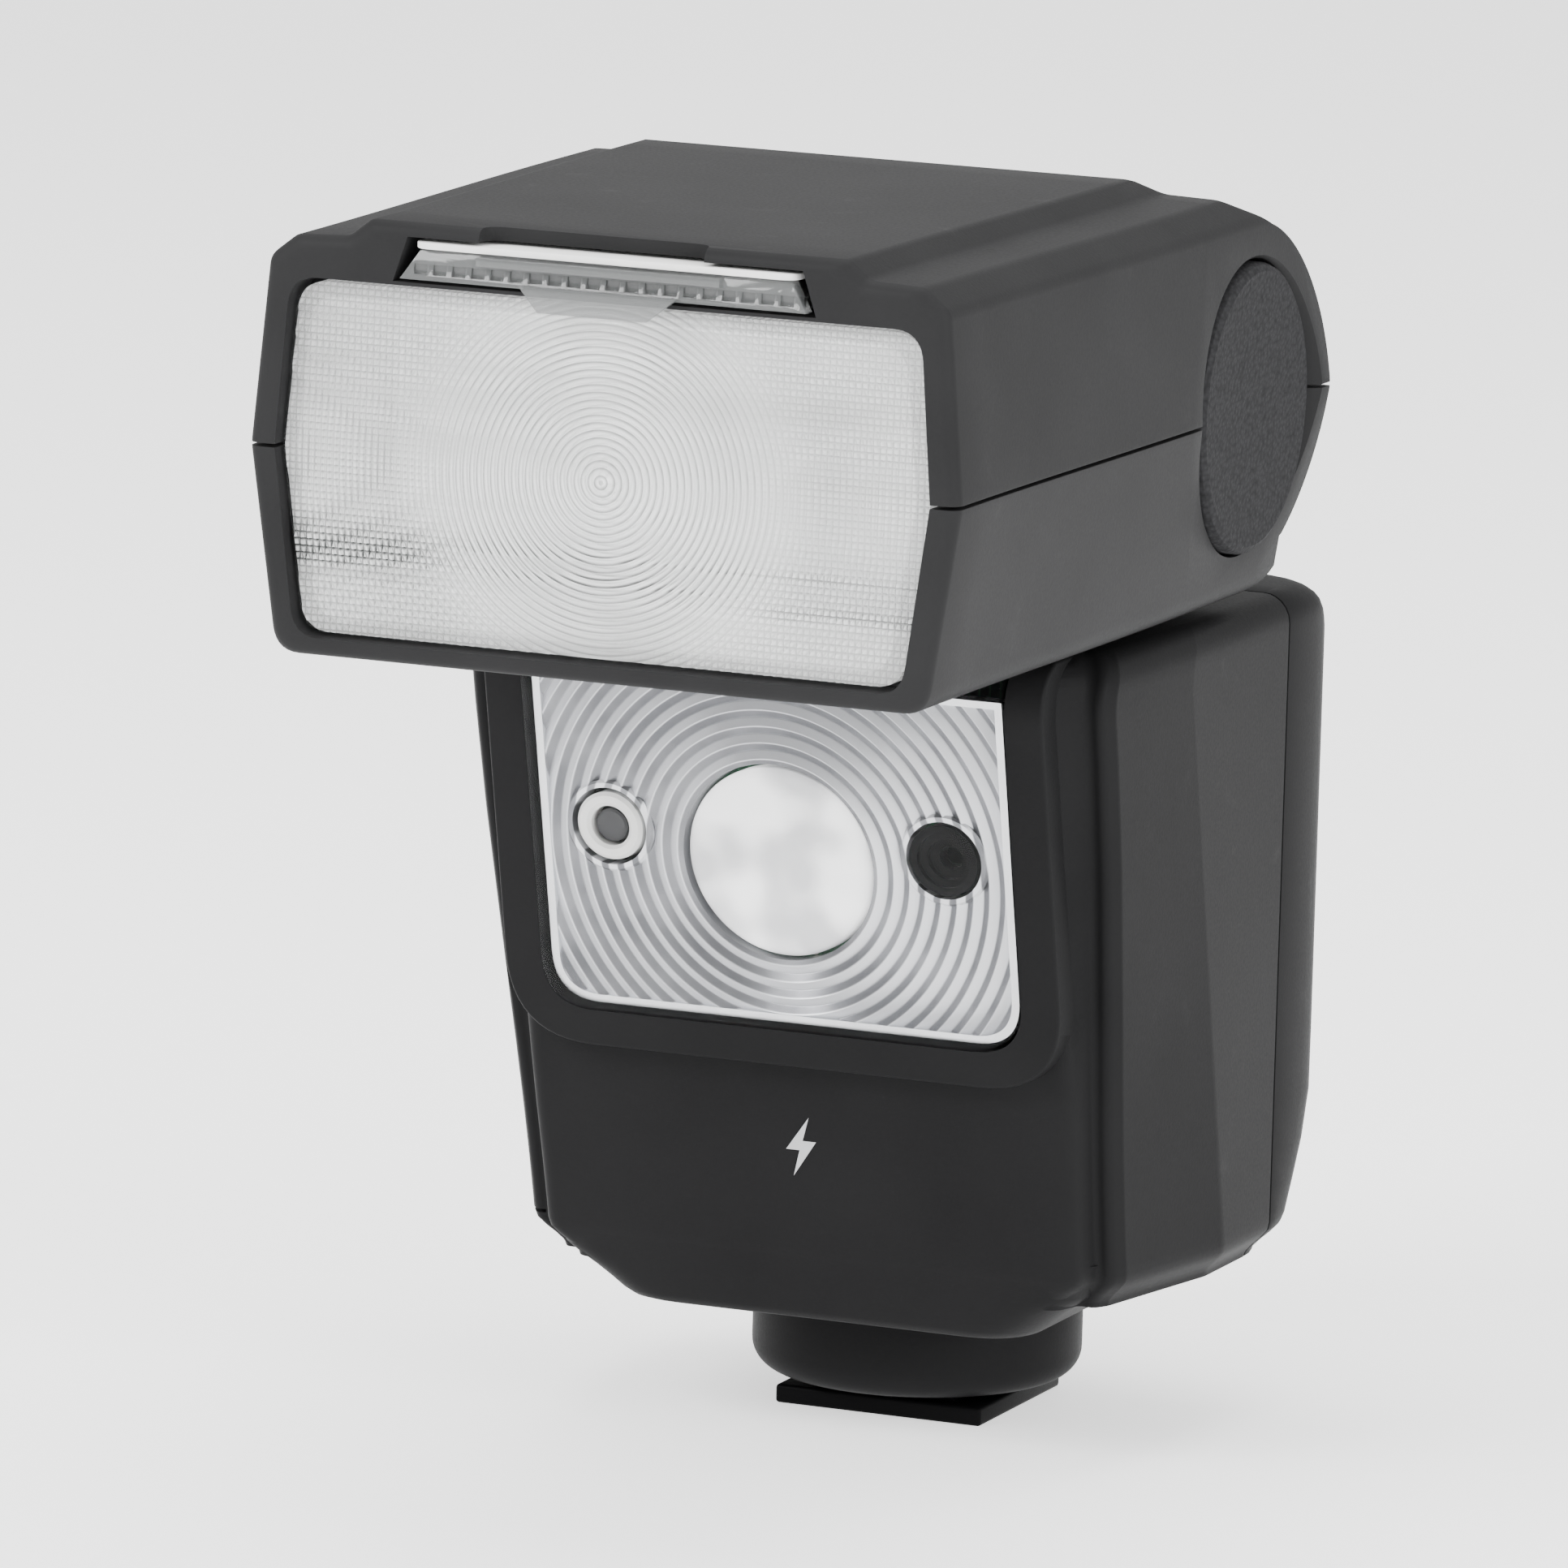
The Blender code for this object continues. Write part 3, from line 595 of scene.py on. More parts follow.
@dataclass(frozen=True)
class Display:
    """Reflective screen with a faint dot grid."""

    name: str
    colour: Colour = (0.30, 0.34, 0.30)

    def build(self) -> bpy.types.Material:
        """Makes the material.

        Returns:
            The material.
        """
        g = Graph(self.name)
        columns = (g.axis("X") / (0.25 * MM)).fn("FRACT") > 0.86
        rows = (g.axis("Z") / (0.25 * MM)).fn("FRACT") > 0.86
        grid = g.math("MAXIMUM", columns, rows)
        cloud = g.noise(90.0)
        base = g.mix(cloud, self.colour, tuple(c * 1.15 for c in self.colour))
        dim = tuple(c * 0.6 for c in self.colour)
        g.set(Base_Color=g.mix(grid * 0.35, base, dim), Roughness=0.3 + cloud * 0.1)
        return g.material


@dataclass(frozen=True)
class MilkyLens:
    """Frosted lens over the LEDs, with painted highlight patches and a painted glow."""

    name: str
    colour: Colour = (0.92, 0.925, 0.93)

    def build(self) -> bpy.types.Material:
        """Makes the material.

        Returns:
            The material.
        """
        g = Graph(self.name)
        painted_highlight_patch, fine = g.noise(170.0, 1.0), g.noise(2600.0, 2.0)
        # Painted highlights: lighter patches in the colour, which also drive the painted glow.
        painted_glow = g.ramp(painted_highlight_patch, 0.38, 0.68)
        g.set(Base_Color=g.mix(painted_glow, (0.66, 0.665, 0.675), self.colour), Roughness=0.12 + fine * 0.16)
        # Painted glow: the lens gives off light of its own, strongest in the painted highlights.
        g.set(Emission_Color=g.mix(painted_glow, (0.25, 0.25, 0.26), (1.0, 1.0, 1.0)), Emission_Strength=1.3)
        g.bump(fine, 0.008, 0.25)
        return g.material


@dataclass(frozen=True)
class Paint:
    """Plain ink or painted surface with a little mottling."""

    name: str
    colour: Colour
    roughness: float = 0.5
    emission: float = 0.0

    def build(self) -> bpy.types.Material:
        """Makes the material.

        Returns:
            The material.
        """
        g = Graph(self.name)
        cloud = g.noise(800.0, 4.0)
        g.set(Base_Color=g.mix(cloud, self.colour, tuple(c * 0.86 for c in self.colour)))
        g.set(Roughness=self.roughness + (cloud - 0.5) * 0.1, Emission_Strength=self.emission)
        g.set(Emission_Color=self.colour)
        g.bump(cloud, 0.01, 0.2)
        return g.material


class Finish(Enum):
    """Every finish on the flash."""

    SHELL = MouldedPlastic("charcoal_plastic", (0.0078, 0.0078, 0.0081), 0.5, gloss=0.04)
    HEAD = MouldedPlastic("head_plastic", (0.0150, 0.0150, 0.0154), 0.5, gloss=0.035)
    DARK = MouldedPlastic("black_plastic", (0.003, 0.003, 0.0032), 0.38, 5200.0, 0.01, gloss=0.03)
    CAP = LeatheredPlastic("grained_cap")
    CLEAR = ClearPlastic("clear_cover", (0.03, 0.032, 0.032), 0.07, 0.03)
    PANEL = ClearPlastic("clear_grey_panel", (0.17, 0.176, 0.176), 0.5, 0.1)
    GLASS = ClearPlastic("tube_glass", (0.9, 0.93, 0.96), 0.35, 0.04)
    SCREEN_COVER = ClearPlastic("screen_cover", (0.02, 0.022, 0.023), 0.18, 0.03)
    PRISM = PrismPlastic("fresnel_plastic", (-0.3, 87.3), 0.6, 0.55)
    SILVER = Metallised("silver_reflector")
    RIBBED = RibbedReflector("ribbed_reflector", 51.0, 8.9, 1.4)
    BOWL = Metallised("flash_bowl", (0.93, 0.94, 0.95), 0.3, 0.35)
    FROSTED = MilkyLens("frosted_lens")
    STEEL = BrushedMetal("bright_steel")
    NICKEL = BrushedMetal("nickel_spring", (0.6, 0.57, 0.5), 0.3)
    GOLD = BrushedMetal("contact_gold", (0.86, 0.62, 0.26), 0.22)
    KEY = SoftKey("soft_key")
    RED_KEY = SoftKey("test_key_tint", (0.35, 0.03, 0.02))
    BOARD = CircuitBoard("circuit_board")
    CELL = PrintedFilm("battery_jacket", (0.02, 0.022, 0.03), (0.72, 0.42, 0.12), 48.0)
    SLEEVE = PrintedFilm("capacitor_sleeve", (0.012, 0.012, 0.016), (0.5, 0.5, 0.5), 26.0)
    SCREEN = Display("screen_glass")
    WHITE = Paint("white_plastic", (0.86, 0.86, 0.84), 0.45)
    GREY = Paint("sensor_grey", (0.022, 0.0225, 0.025), 0.5)
    INK = Paint("pale_ink", (0.42, 0.42, 0.43), 0.5)
    DARK_INK = Paint("screen_ink", (0.02, 0.022, 0.02), 0.4)
    FLOOR = Paint("pale_floor", (0.97, 0.97, 0.97), 0.85, 1.0)

    def material(self) -> bpy.types.Material:
        """Gives the finish's material, made once.

        Returns:
            The material.
        """
        found = bpy.data.materials.get(self.value.name + "_look")
        if found is None:
            found = self.value.build()
            found.name = self.value.name + "_look"
        return found


# ---------------------------------------------------------------- geometry


class Axis(Enum):
    """The two cross axes and the long axis of a turned or extruded shape."""

    X = (1, 2, 0)
    Y = (2, 0, 1)
    Z = (0, 1, 2)


class Piece:
    """A mesh object that is cut, joined, rounded and then dressed and put on a body."""

    def __init__(self, name: str, verts: Sequence[Sequence[float]], faces: Sequence[Sequence[int]]) -> None:
        """Builds the object from points in millimetres.

        Args:
            name: The object's name.
            verts: Its points.
            faces: Its faces.
        """
        mesh = bpy.data.meshes.new(name)
        mesh.from_pydata([Vector(v) * MM for v in verts], [], faces)
        bm = bmesh.new()
        bm.from_mesh(mesh)
        bmesh.ops.recalc_face_normals(bm, faces=bm.faces)
        bm.to_mesh(mesh)
        bm.free()
        self.obj = bpy.data.objects.new(name, mesh)
        bpy.context.scene.collection.objects.link(self.obj)

    @classmethod
    def loft(cls, name: str, rings: Sequence[Ring], caps: bool = True) -> "Piece":
        """Skins rings of equal length.

        Args:
            name: The object's name.
            rings: The sections, in order.
            caps: Whether both ends are closed.

        Returns:
            The piece.
        """
        count = len(rings[0])
        verts = [p for ring in rings for p in ring]
        faces: list[list[int]] = []
        for i in range(len(rings) - 1):
            for j in range(count):
                k = (j + 1) % count
                faces.append([i * count + j, i * count + k, (i + 1) * count + k, (i + 1) * count + j])
        if caps:
            faces += [list(range(count)), list(range(len(verts) - count, len(verts)))]
        return cls(name, verts, faces)

    @classmethod
    def prism(cls, name: str, axis: Axis, loop: Loop, start: float, end: float) -> "Piece":
        """Extrudes a loop along an axis.

        Args:
            name: The object's name.
            axis: The axis of the extrusion.
            loop: Points in the two cross axes, in world order.
            start: First place on the axis.
            end: Last place on the axis.

        Returns:
            The piece.
        """
        long = axis.value[2]
        cross = [i for i in range(3) if i != long]
        rings = []
        for place in (start, end):
            ring = []
            for a, b in loop:
                point = [0.0, 0.0, 0.0]
                point[cross[0]], point[cross[1]], point[long] = a, b, place
                ring.append(tuple(point))
            rings.append(ring)
        return cls.loft(name, rings)

    @classmethod
    def box(cls, name: str, low: Sequence[float], high: Sequence[float]) -> "Piece":
        """Makes a block that is cut or rounded afterwards.

        Args:
            name: The object's name.
            low: Lowest corner.
            high: Highest corner.

        Returns:
            The piece.
        """
        loop = [(low[0], low[1]), (high[0], low[1]), (high[0], high[1]), (low[0], high[1])]
        return cls.prism(name, Axis.Z, loop, low[2], high[2])

    @classmethod
    def turned(
        cls, name: str, axis: Axis, centre: Sequence[float], profile: Sequence[tuple[float, float]],
        sides: int = 96, lean: float = 0.0, closed: bool = False,
        ridges: Callable[[float, float], float] | None = None,
    ) -> "Piece":
        """Turns a profile of (radius, place along the axis).

        Args:
            name: The object's name.
            axis: The axis turned about.
            centre: A point on it.
            profile: The outline.
            sides: Points round a turn.
            lean: Shift along -Y for each millimetre of height above the centre.
            closed: Whether the profile joins up into a ring with a bore.
            ridges: Gives a change of radius at an angle and radius.

        Returns:
            The piece.
        """
        a, b, c = axis.value
        rings = []
        for radius, along in profile:
            ring = []
            for i in range(sides):
                angle = math.tau * i / sides
                reach = radius + (ridges(angle, radius) if ridges else 0.0)
                point = list(centre)
                point[a] += reach * math.cos(angle)
                point[b] += reach * math.sin(angle)
                point[c] += along
                point[1] -= lean * (point[2] - centre[2])
                ring.append(tuple(point))
            rings.append(ring)
        if closed:
            rings.append(rings[0])
        made = cls.loft(name, rings, caps=not closed)
        if closed:
            made.weld()
        return made

    def weld(self, within: float = 0.002) -> "Piece":
        """Merges points that coincide, and turns the faces outward again.

        Args:
            within: Distance that counts as the same place, in mm.

        Returns:
            This piece.
        """
        bm = bmesh.new()
        bm.from_mesh(self.obj.data)
        bmesh.ops.remove_doubles(bm, verts=bm.verts, dist=within * MM)
        bmesh.ops.recalc_face_normals(bm, faces=bm.faces)
        bm.to_mesh(self.obj.data)
        bm.free()
        return self

    def settle(self) -> "Piece":
        """Applies the modifiers.

        Returns:
            This piece.
        """
        graph = bpy.context.evaluated_depsgraph_get()
        made = bpy.data.meshes.new_from_object(self.obj.evaluated_get(graph))
        made.name = self.obj.name
        self.obj.modifiers.clear()
        self.obj.data = made
        return self

    def combine(self, operation: str, tools: Sequence["Piece"]) -> "Piece":
        """Applies Booleans and removes the tools.

        Args:
            operation: DIFFERENCE, UNION or INTERSECT.
            tools: The other pieces.

        Returns:
            This piece.
        """
        for tool in tools:
            mod = self.obj.modifiers.new(operation, "BOOLEAN")
            mod.operation = operation
            mod.solver = "EXACT"
            mod.object = tool.obj
        self.settle()
        for tool in tools:
            bpy.data.objects.remove(tool.obj)
        return self

    def cut(self, *tools: "Piece") -> "Piece":
        """Cuts the tools away."""
        return self.combine("DIFFERENCE", tools)

    def join(self, *tools: "Piece") -> "Piece":
        """Joins the tools on."""
        return self.combine("UNION", tools)

    def keep(self, *tools: "Piece") -> "Piece":
        """Keeps only what lies inside the tools."""
        return self.combine("INTERSECT", tools)

    def soften(self, width: float, segments: int = 3, angle: float = 38.0) -> "Piece":
        """Rounds the sharp edges.

        Args:
            width: Radius.
            segments: Steps round an edge.
            angle: Least angle of an edge that is rounded.

        Returns:
            This piece.
        """
        mod = self.obj.modifiers.new("Soften", "BEVEL")
        mod.width = width * MM
        mod.segments = segments
        mod.limit_method = "ANGLE"
        mod.angle_limit = math.radians(angle)
        mod.harden_normals = False
        return self.settle()

    def dress(self, finish: Finish, body: str, nodes: Sequence[str] = (), sharp: float = 32.0) -> "Piece":
        """Gives the piece its finish and its body.

        Args:
            finish: The finish.
            body: The frame body that it moves with.
            nodes: Frame nodes that it stands for.
            sharp: Least angle of an edge that stays sharp.

        Returns:
            This piece.
        """
        mesh = self.obj.data
        mesh.shade_smooth()
        mesh.set_sharp_from_angle(angle=math.radians(sharp))
        mesh.materials.clear()
        mesh.materials.append(finish.material())
        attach(self.obj, body)
        if nodes:
            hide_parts(*nodes)
        LOG.info("%s rides on %s", self.obj.name, body)
        return self


def filleted(corners: Sequence[tuple[float, float, float]], steps: int = 8) -> Loop:
    """Rounds a polygon's corners.

    Args:
        corners: Points with a radius each.
        steps: Segments round each corner.

    Returns:
        The rounded loop.
    """
    loop: Loop = []
    count = len(corners)
    for i, (x, y, radius) in enumerate(corners):
        here = Vector((x, y))
        before = Vector(corners[i - 1][:2]) - here
        after = Vector(corners[(i + 1) % count][:2]) - here
        reach = min(radius / math.tan(before.angle(after) / 2), before.length * 0.49, after.length * 0.49)
        start = here + before.normalized() * reach
        end = here + after.normalized() * reach
        for s in range(steps + 1):
            t = s / steps
            loop.append(tuple(start * (1 - t) ** 2 + here * 2 * t * (1 - t) + end * t**2))
    return loop


def both_sides(right: Sequence[tuple[float, float, float]]) -> list[tuple[float, float, float]]:
    """Completes a polygon from its right half, given from the bottom up."""
    return [*right, *((-x, y, r) for x, y, r in reversed(right))]


def ease(t: float) -> float:
    """Smooth step between 0 and 1."""
    t = max(0.0, min(1.0, t))
    return t * t * (3 - 2 * t)


def shoulder(radius: float, rise: float) -> float:
    """How far a rounded edge draws in at a height above its start."""
    rise = max(0.0, min(radius, rise))
    return radius - math.sqrt(radius**2 - rise**2)


@dataclass
class BodyForm:
    """Outer form of the body, shared by the front shell, the rear cover and the battery door."""

    bottom: float = 14.0
    top: float = 70.3
    half_width: float = 29.4
    rear: float = 18.5
    face: float = -31.5
    face_height: float = 43.5
    lean: float = 0.23
    wall: float = 1.6
    seam: float = 5.0
    gap: float = 0.3

    def plane_y(self, z: float) -> float:
        """The lamp window's leaning plane at a height."""
        return self.face - self.lean * (z - self.face_height)

    def face_y(self, z: float) -> float:
        """The front face, drawn in at the bottom and rounded over at the top."""
        return self.plane_y(z) + shoulder(5.5, z - self.top + 5.5) + 0.9 * (1 - ease((z - self.bottom) / 3))

    def rear_y(self, z: float) -> float:
        """The rear face, which comes forward below the controls."""
        return self.rear - shoulder(4.5, z - self.top + 4.5) - 7.5 * (1 - ease((z - self.bottom + 4) / 18))

    def side_x(self, z: float) -> float:
        """Half the width at a height."""
        return self.half_width - shoulder(2.4, z - self.top + 2.4) - 2.2 * (1 - ease((z - self.bottom) / 3))

    def ring(self, z: float, inset: float = 0.0) -> Ring:
        """Makes a level section.

        Args:
            z: Height.
            inset: How far it is drawn in.

        Returns:
            The section's points.
        """
        front, rear, side = self.face_y(z) + inset, self.rear_y(z) - inset, self.side_x(z) - inset
        ridge = side - 1.0 - 1.9 * (1 - ease((z - self.bottom) / 50))
        right = [
            (min(24.0 - inset, ridge - 2.9), front + 1.2, 1.6),
            (ridge - 2.0, front + 4.3, 1.3),
            (ridge - 0.7, front + 3.9, 0.9),
            (ridge + 0.1, front + 5.3, 0.9),
            (side, front + 20.0, 5.0),
            (side, rear, 7.0 - inset),
        ]
        return [(x, y, z) for x, y in filleted(both_sides(right), 8)]

    def levels(self, low: float, high: float) -> list[float]:
        """Heights of the sections, closer where the form turns.

        Args:
            low: Lowest height.
            high: Highest height.

        Returns:
            The heights, rising.
        """
        near_base = [low + d for d in (0.0, 0.3, 0.6, 1.2, 1.8, 2.5, 3.2, 4.0, 6.0, 9.0, 13.0, 18.0, 26.0)]
        near_top = [high - d for d in (18.0, 9.0, 5.5, 4.8, 4.0, 3.2, 2.4, 1.7, 1.1, 0.6, 0.25, 0.08, 0.0)]
        return near_base + near_top

    def block(self, name: str, inset: float = 0.0) -> Piece:
        """Skins the whole form, or the same form drawn in."""
        heights = self.levels(self.bottom + inset, self.top - inset)
        return Piece.loft(name, [self.ring(z, inset) for z in heights])

    def apron(self, name: str) -> Piece:
        """Skins the belly that stands below the sides, over the collar.

        Args:
            name: Name of the piece.

        Returns:
            The solid.
        """
        rings = []
        for z, half, front, rear in (
            (10.7, 17.5, -21.4, 8.0),
            (10.95, 18.1, -22.1, 8.9),
            (11.5, 18.8, -22.6, 10.0),
            (12.4, 19.9, -22.9, 10.9),
            (13.3, 21.1, -23.2, 11.5),
            (14.2, 22.5, -23.45, 12.0),
            (15.0, 23.6, -23.6, 12.3),
            (18.0, 25.0, -24.28, 12.5),
        ):
            loop = filleted(both_sides([(half, front, 5.0), (half, rear, 8.0)]), 12)
            rings.append([(x, y, z) for x, y in loop])
        return Piece.loft(name, rings)

    def window_loop(self, half: float, low: float, high: float, radius: float) -> Loop:
        """An upright loop with round lower corners."""
        corners = [(-half, low, radius), (half, low, radius), (half, high, 0.1), (-half, high, 0.1)]
        return filleted(corners, 12)

    def face_prism(self, name: str, loop: Loop, front: float, back: float) -> Piece:
        """Extrudes an upright loop between two depths from the leaning plane."""
        rings = [[(x, self.plane_y(z) + depth, z) for x, z in loop] for depth in (front, back)]
        return Piece.loft(name, rings)

    def face_strip(self, name: str, front: float, back: float, low: float, high: float, half: float) -> Piece:
        """Makes a strip that follows the face and its rounded top between two depths.

        Args:
            name: Name of the piece.
            front: Outer depth from the face.
            back: Inner depth from the face.
            low: Lower end.
            high: Upper end.
            half: Half its width.

        Returns:
            The solid.
        """
        steps = 40
        heights = [low + (high - low) * (i / steps) ** 0.6 for i in range(steps + 1)]
        outer = [(self.face_y(z) + front, z) for z in heights]
        inner = [(self.face_y(z) + back, z) for z in reversed(heights)]
        return Piece.loft(name, [[(x, y, z) for y, z in outer + inner] for x in (-half, half)])


@dataclass
class HeadForm:
    """Outer form of the head, shared by its two shells and its window."""

    front: float = -71.0
    rear: float = 12.0
    bottom: float = 71.4
    top: float = 106.7
    seam: float = 88.0
    flare: float = 1.1
    pivot_y: float = -8.4
    pivot_z: float = 87.8
    cheek: float = 15.3
    wall: float = 1.6
    gap: float = 0.3
    lens_face: float = -69.9

    @property
    def pivot(self) -> tuple[float, float, float]:
        """A point on the tilt axis."""
        return (0.0, self.pivot_y, self.pivot_z)

    def ring(self, y: float, inset: float = 0.0) -> Ring:
        """Makes a section across the head.

        Args:
            y: Place along the head.
            inset: How far it is drawn in.

        Returns:
            The section's points.
        """
        wide = self.flare * ease((y - self.front) / 55) - inset
        right = [
            (28.0 + wide, self.bottom + inset, 2.4),
            (30.5 + wide, self.seam, 5.0),
            (29.1 + wide, 103.2 - inset, 1.6),
            (26.8 + wide, 105.0 - inset, 1.6),
            (22.3 + wide, 105.2 - inset, 1.6),
            (20.4 + wide, self.top - inset, 1.2),
        ]
        return [(x, y, z) for x, z in filleted(both_sides(right), 7)]

    def block(self, name: str, inset: float = 0.0, start: float = -71.0, end: float = 12.0) -> Piece:
        """Skins the form between two places, with a round front edge when it isn't drawn in.

        Args:
            name: Name of the piece.
            inset: How far it is drawn in.
            start: Front end, along Y.
            end: Rear end, along Y.

        Returns:
            The solid.
        """
        stations = [(start, inset)]
        if not inset:
            turn = [math.radians(a) for a in (0, 18, 36, 54, 72, 90)]
            stations = [(start + 1.1 * (1 - math.cos(a)), 1.1 * (1 - math.sin(a))) for a in turn]
        last = stations[-1][0]
        stations += [(last + (end - last) * i / 16, inset) for i in range(1, 17)]
        return Piece.loft(name, [self.ring(y, i) for y, i in stations])

    def arc(self, radius: float, start: float, end: float, steps: int) -> Loop:
        """Points of an arc about the tilt axis, as (y, z)."""
        angles = [math.radians(start + (end - start) * i / steps) for i in range(steps + 1)]
        return [(self.pivot_y + radius * math.cos(a), self.pivot_z + radius * math.sin(a)) for a in angles]

    def side_tool(self) -> Piece:
        """The head's side outline as a wide prism.

        Returns:
            The prism.
        """
        outline = [(-90.0, 60.0), (-6.0, 60.0), *self.arc(17.2, -72, -56.9, 6), (1.0, 75.9)]
        outline += self.arc(self.cheek, -50, 74, 48)
        outline += [(-11.5, 105.4), (-13.8, 106.45), (-16.5, 107.2), (-22.0, 108.0), (-90.0, 108.0)]
        return Piece.prism("side_tool", Axis.X, outline, -40, 40)

    def lens_loop(self, grow: float) -> Loop:
        """The window's outline, widest at the seam.

        Args:
            grow: How far it is let out.

        Returns:
            The outline.
        """
        right = [
            (25.6 + grow, 73.4 - grow, 2.6),
            (27.6 + grow, self.seam, 4.0),
            (26.5 + grow, 101.2 + grow, 2.6),
        ]
        return filleted(both_sides(right), 10)


def bolt(x: float, z: float, size: float) -> Loop:
    """Outline of a plain lightning bolt.

    Args:
        x: Middle.
        z: Middle.
        size: Height.

    Returns:
        The outline.
    """
    shape = [(0.16, 0.5), (-0.26, -0.06), (-0.03, -0.06), (-0.16, -0.5), (0.26, 0.1), (0.03, 0.1)]
    return [(x + a * size, z + b * size) for a, b in shape]


def slab(x0: float, z0: float, x1: float, z1: float) -> Loop:
    """A rectangle's outline."""
    return [(x0, z0), (x1, z0), (x1, z1), (x0, z1)]


def plates(name: str, loops: Sequence[Loop], front: Callable[[float], float], thick: float) -> Piece:
    """Lays thin printed or moulded plates on a face.

    Args:
        name: The piece's name.
        loops: Outlines in (x, z).
        front: Gives the face's y at a height.
        thick: Thickness behind that face, toward +Y.

    Returns:
        One piece that holds every plate.
    """
    verts: list[tuple[float, float, float]] = []
    faces: list[list[int]] = []
    for loop in loops:
        base, count = len(verts), len(loop)
        verts += [(x, front(z), z) for x, z in loop] + [(x, front(z) + thick, z) for x, z in loop]
        faces += [list(range(base, base + count)), list(range(base + count, base + 2 * count))]
        for j in range(count):
            k = (j + 1) % count
            faces.append([base + j, base + k, base + count + k, base + count + j])
    return Piece(name, verts, faces)


# ---------------------------------------------------------------- sub-assemblies


@dataclass
class BodyShells:
    """Front housing, rear cover and battery door."""

    form: BodyForm
    door_y: tuple[float, float] = (-26.0, 3.0)
    door_z: tuple[float, float] = (17.0, 50.0)
    window_half: float = 21.0
    window_low: float = 37.0
    key_xs: tuple[float, ...] = (-18.0, -6.0, 6.0, 18.0)
    dial_z: float = 30.0
    edge: float = 0.22

    def build(self) -> None:
        """Builds all three."""
        self.housing()
        self.cover()
        self.door()
        self.mark()

    def housing(self) -> None:
        """Front shell with its raised window rim."""
        f = self.form
        shell = f.block("body_housing").join(f.apron("tool"))
        rim = f.face_strip("tool", -1.0, 6.0, self.window_low - 6, 70.1, 24.6)
        rim.keep(Piece.prism("tool", Axis.Y, f.window_loop(24.6, self.window_low - 3.4, 90, 7.5), -60, -10))
        shell.join(rim.soften(0.9, 4, 30))
        shell.cut(f.block("tool", f.wall), Piece.box("tool", (-40, f.seam, 0), (40, 40, 90)))
        grow = self.window_half + f.gap
        pocket = f.face_strip("tool", -6.0, 3.0, self.window_low - 5, 68.9 + f.gap, grow)
        loop = f.window_loop(grow, self.window_low - f.gap, 90, 4.5)
        shell.cut(pocket.keep(Piece.prism("tool", Axis.Y, loop, -60, -10)))
        shell.cut(
            Piece.box("tool", (-40, self.door_y[0], self.door_z[0]), (-25, self.door_y[1], self.door_z[1])),
            Piece.turned("tool", Axis.Z, (0, -8.4, 0), [(11.3, 60), (11.3, 80)]),
            Piece.turned("tool", Axis.Z, (0, 0, 0), [(4.5, 5), (4.5, 20)]),
        )
        shell.soften(self.edge, 2, 50).dress(Finish.SHELL, "body", ["main_housing"])

    def cover(self) -> None:
        """Rear cover with its control openings and a shallow panel round the screen."""
        f = self.form
        cover = f.block("body_rear_cover").join(f.apron("tool"))
        cover.cut(f.block("tool", f.wall), Piece.box("tool", (-40, -60, 0), (40, f.seam + f.gap, 90)))
        panel = filleted([(-21.0, 45.9, 2.0), (21.0, 45.9, 2.0), (21.0, 65.0, 2.0), (-21.0, 65.0, 2.0)])
        tools = [
            Piece.prism("tool", Axis.Y, panel, 18.15, 30),
            Piece.box("tool", (-17.3, 14, 46.7), (17.3, 25, 63.3)),
            Piece.turned("tool", Axis.Y, (0, 0, self.dial_z), [(9.8, 10), (9.8, 25)]),
            Piece.turned("tool", Axis.Y, (-20, 0, self.dial_z), [(3.3, 10), (3.3, 25)], 48),
            Piece.box("tool", (15.2, 10, 27.5), (24.8, 25, 32.5)),
        ]
        tools += [Piece.box("tool", (x - 4.3, 10, 41.7), (x + 4.3, 25, 45.3)) for x in self.key_xs]
        cover.cut(*tools).soften(self.edge, 2, 50).dress(Finish.SHELL, "body", ["rear_cover"])

    def door(self) -> None:
        """Battery door with its latch recess and boss."""
        f = self.form
        door = f.block("battery_bay_door").cut(f.block("tool", f.wall))
        low, high = self.door_z[0] + f.gap, self.door_z[1] - f.gap
        door.keep(Piece.box("tool", (-40, self.door_y[0] + f.gap, low), (-25, self.door_y[1] - f.gap, high)))
        door.cut(Piece.box("tool", (-40, -12.9, 28.0), (-28.5, -2.8, 40.0)))
        door.join(Piece.box("tool", (-28.2, -12.0, 24.0), (-26.2, -4.0, 40.0)))
        door.soften(self.edge, 2, 50).dress(Finish.SHELL, "door", ["battery_door"])

    def mark(self) -> None:
        """A plain printed bolt on the lower front."""
        loops = [bolt(0.0, 26.2, 5.2)]
        made = plates("front_bolt_mark", loops, lambda z: self.form.face_y(z) + 1.16, 0.2)
        made.dress(Finish.INK, "body")


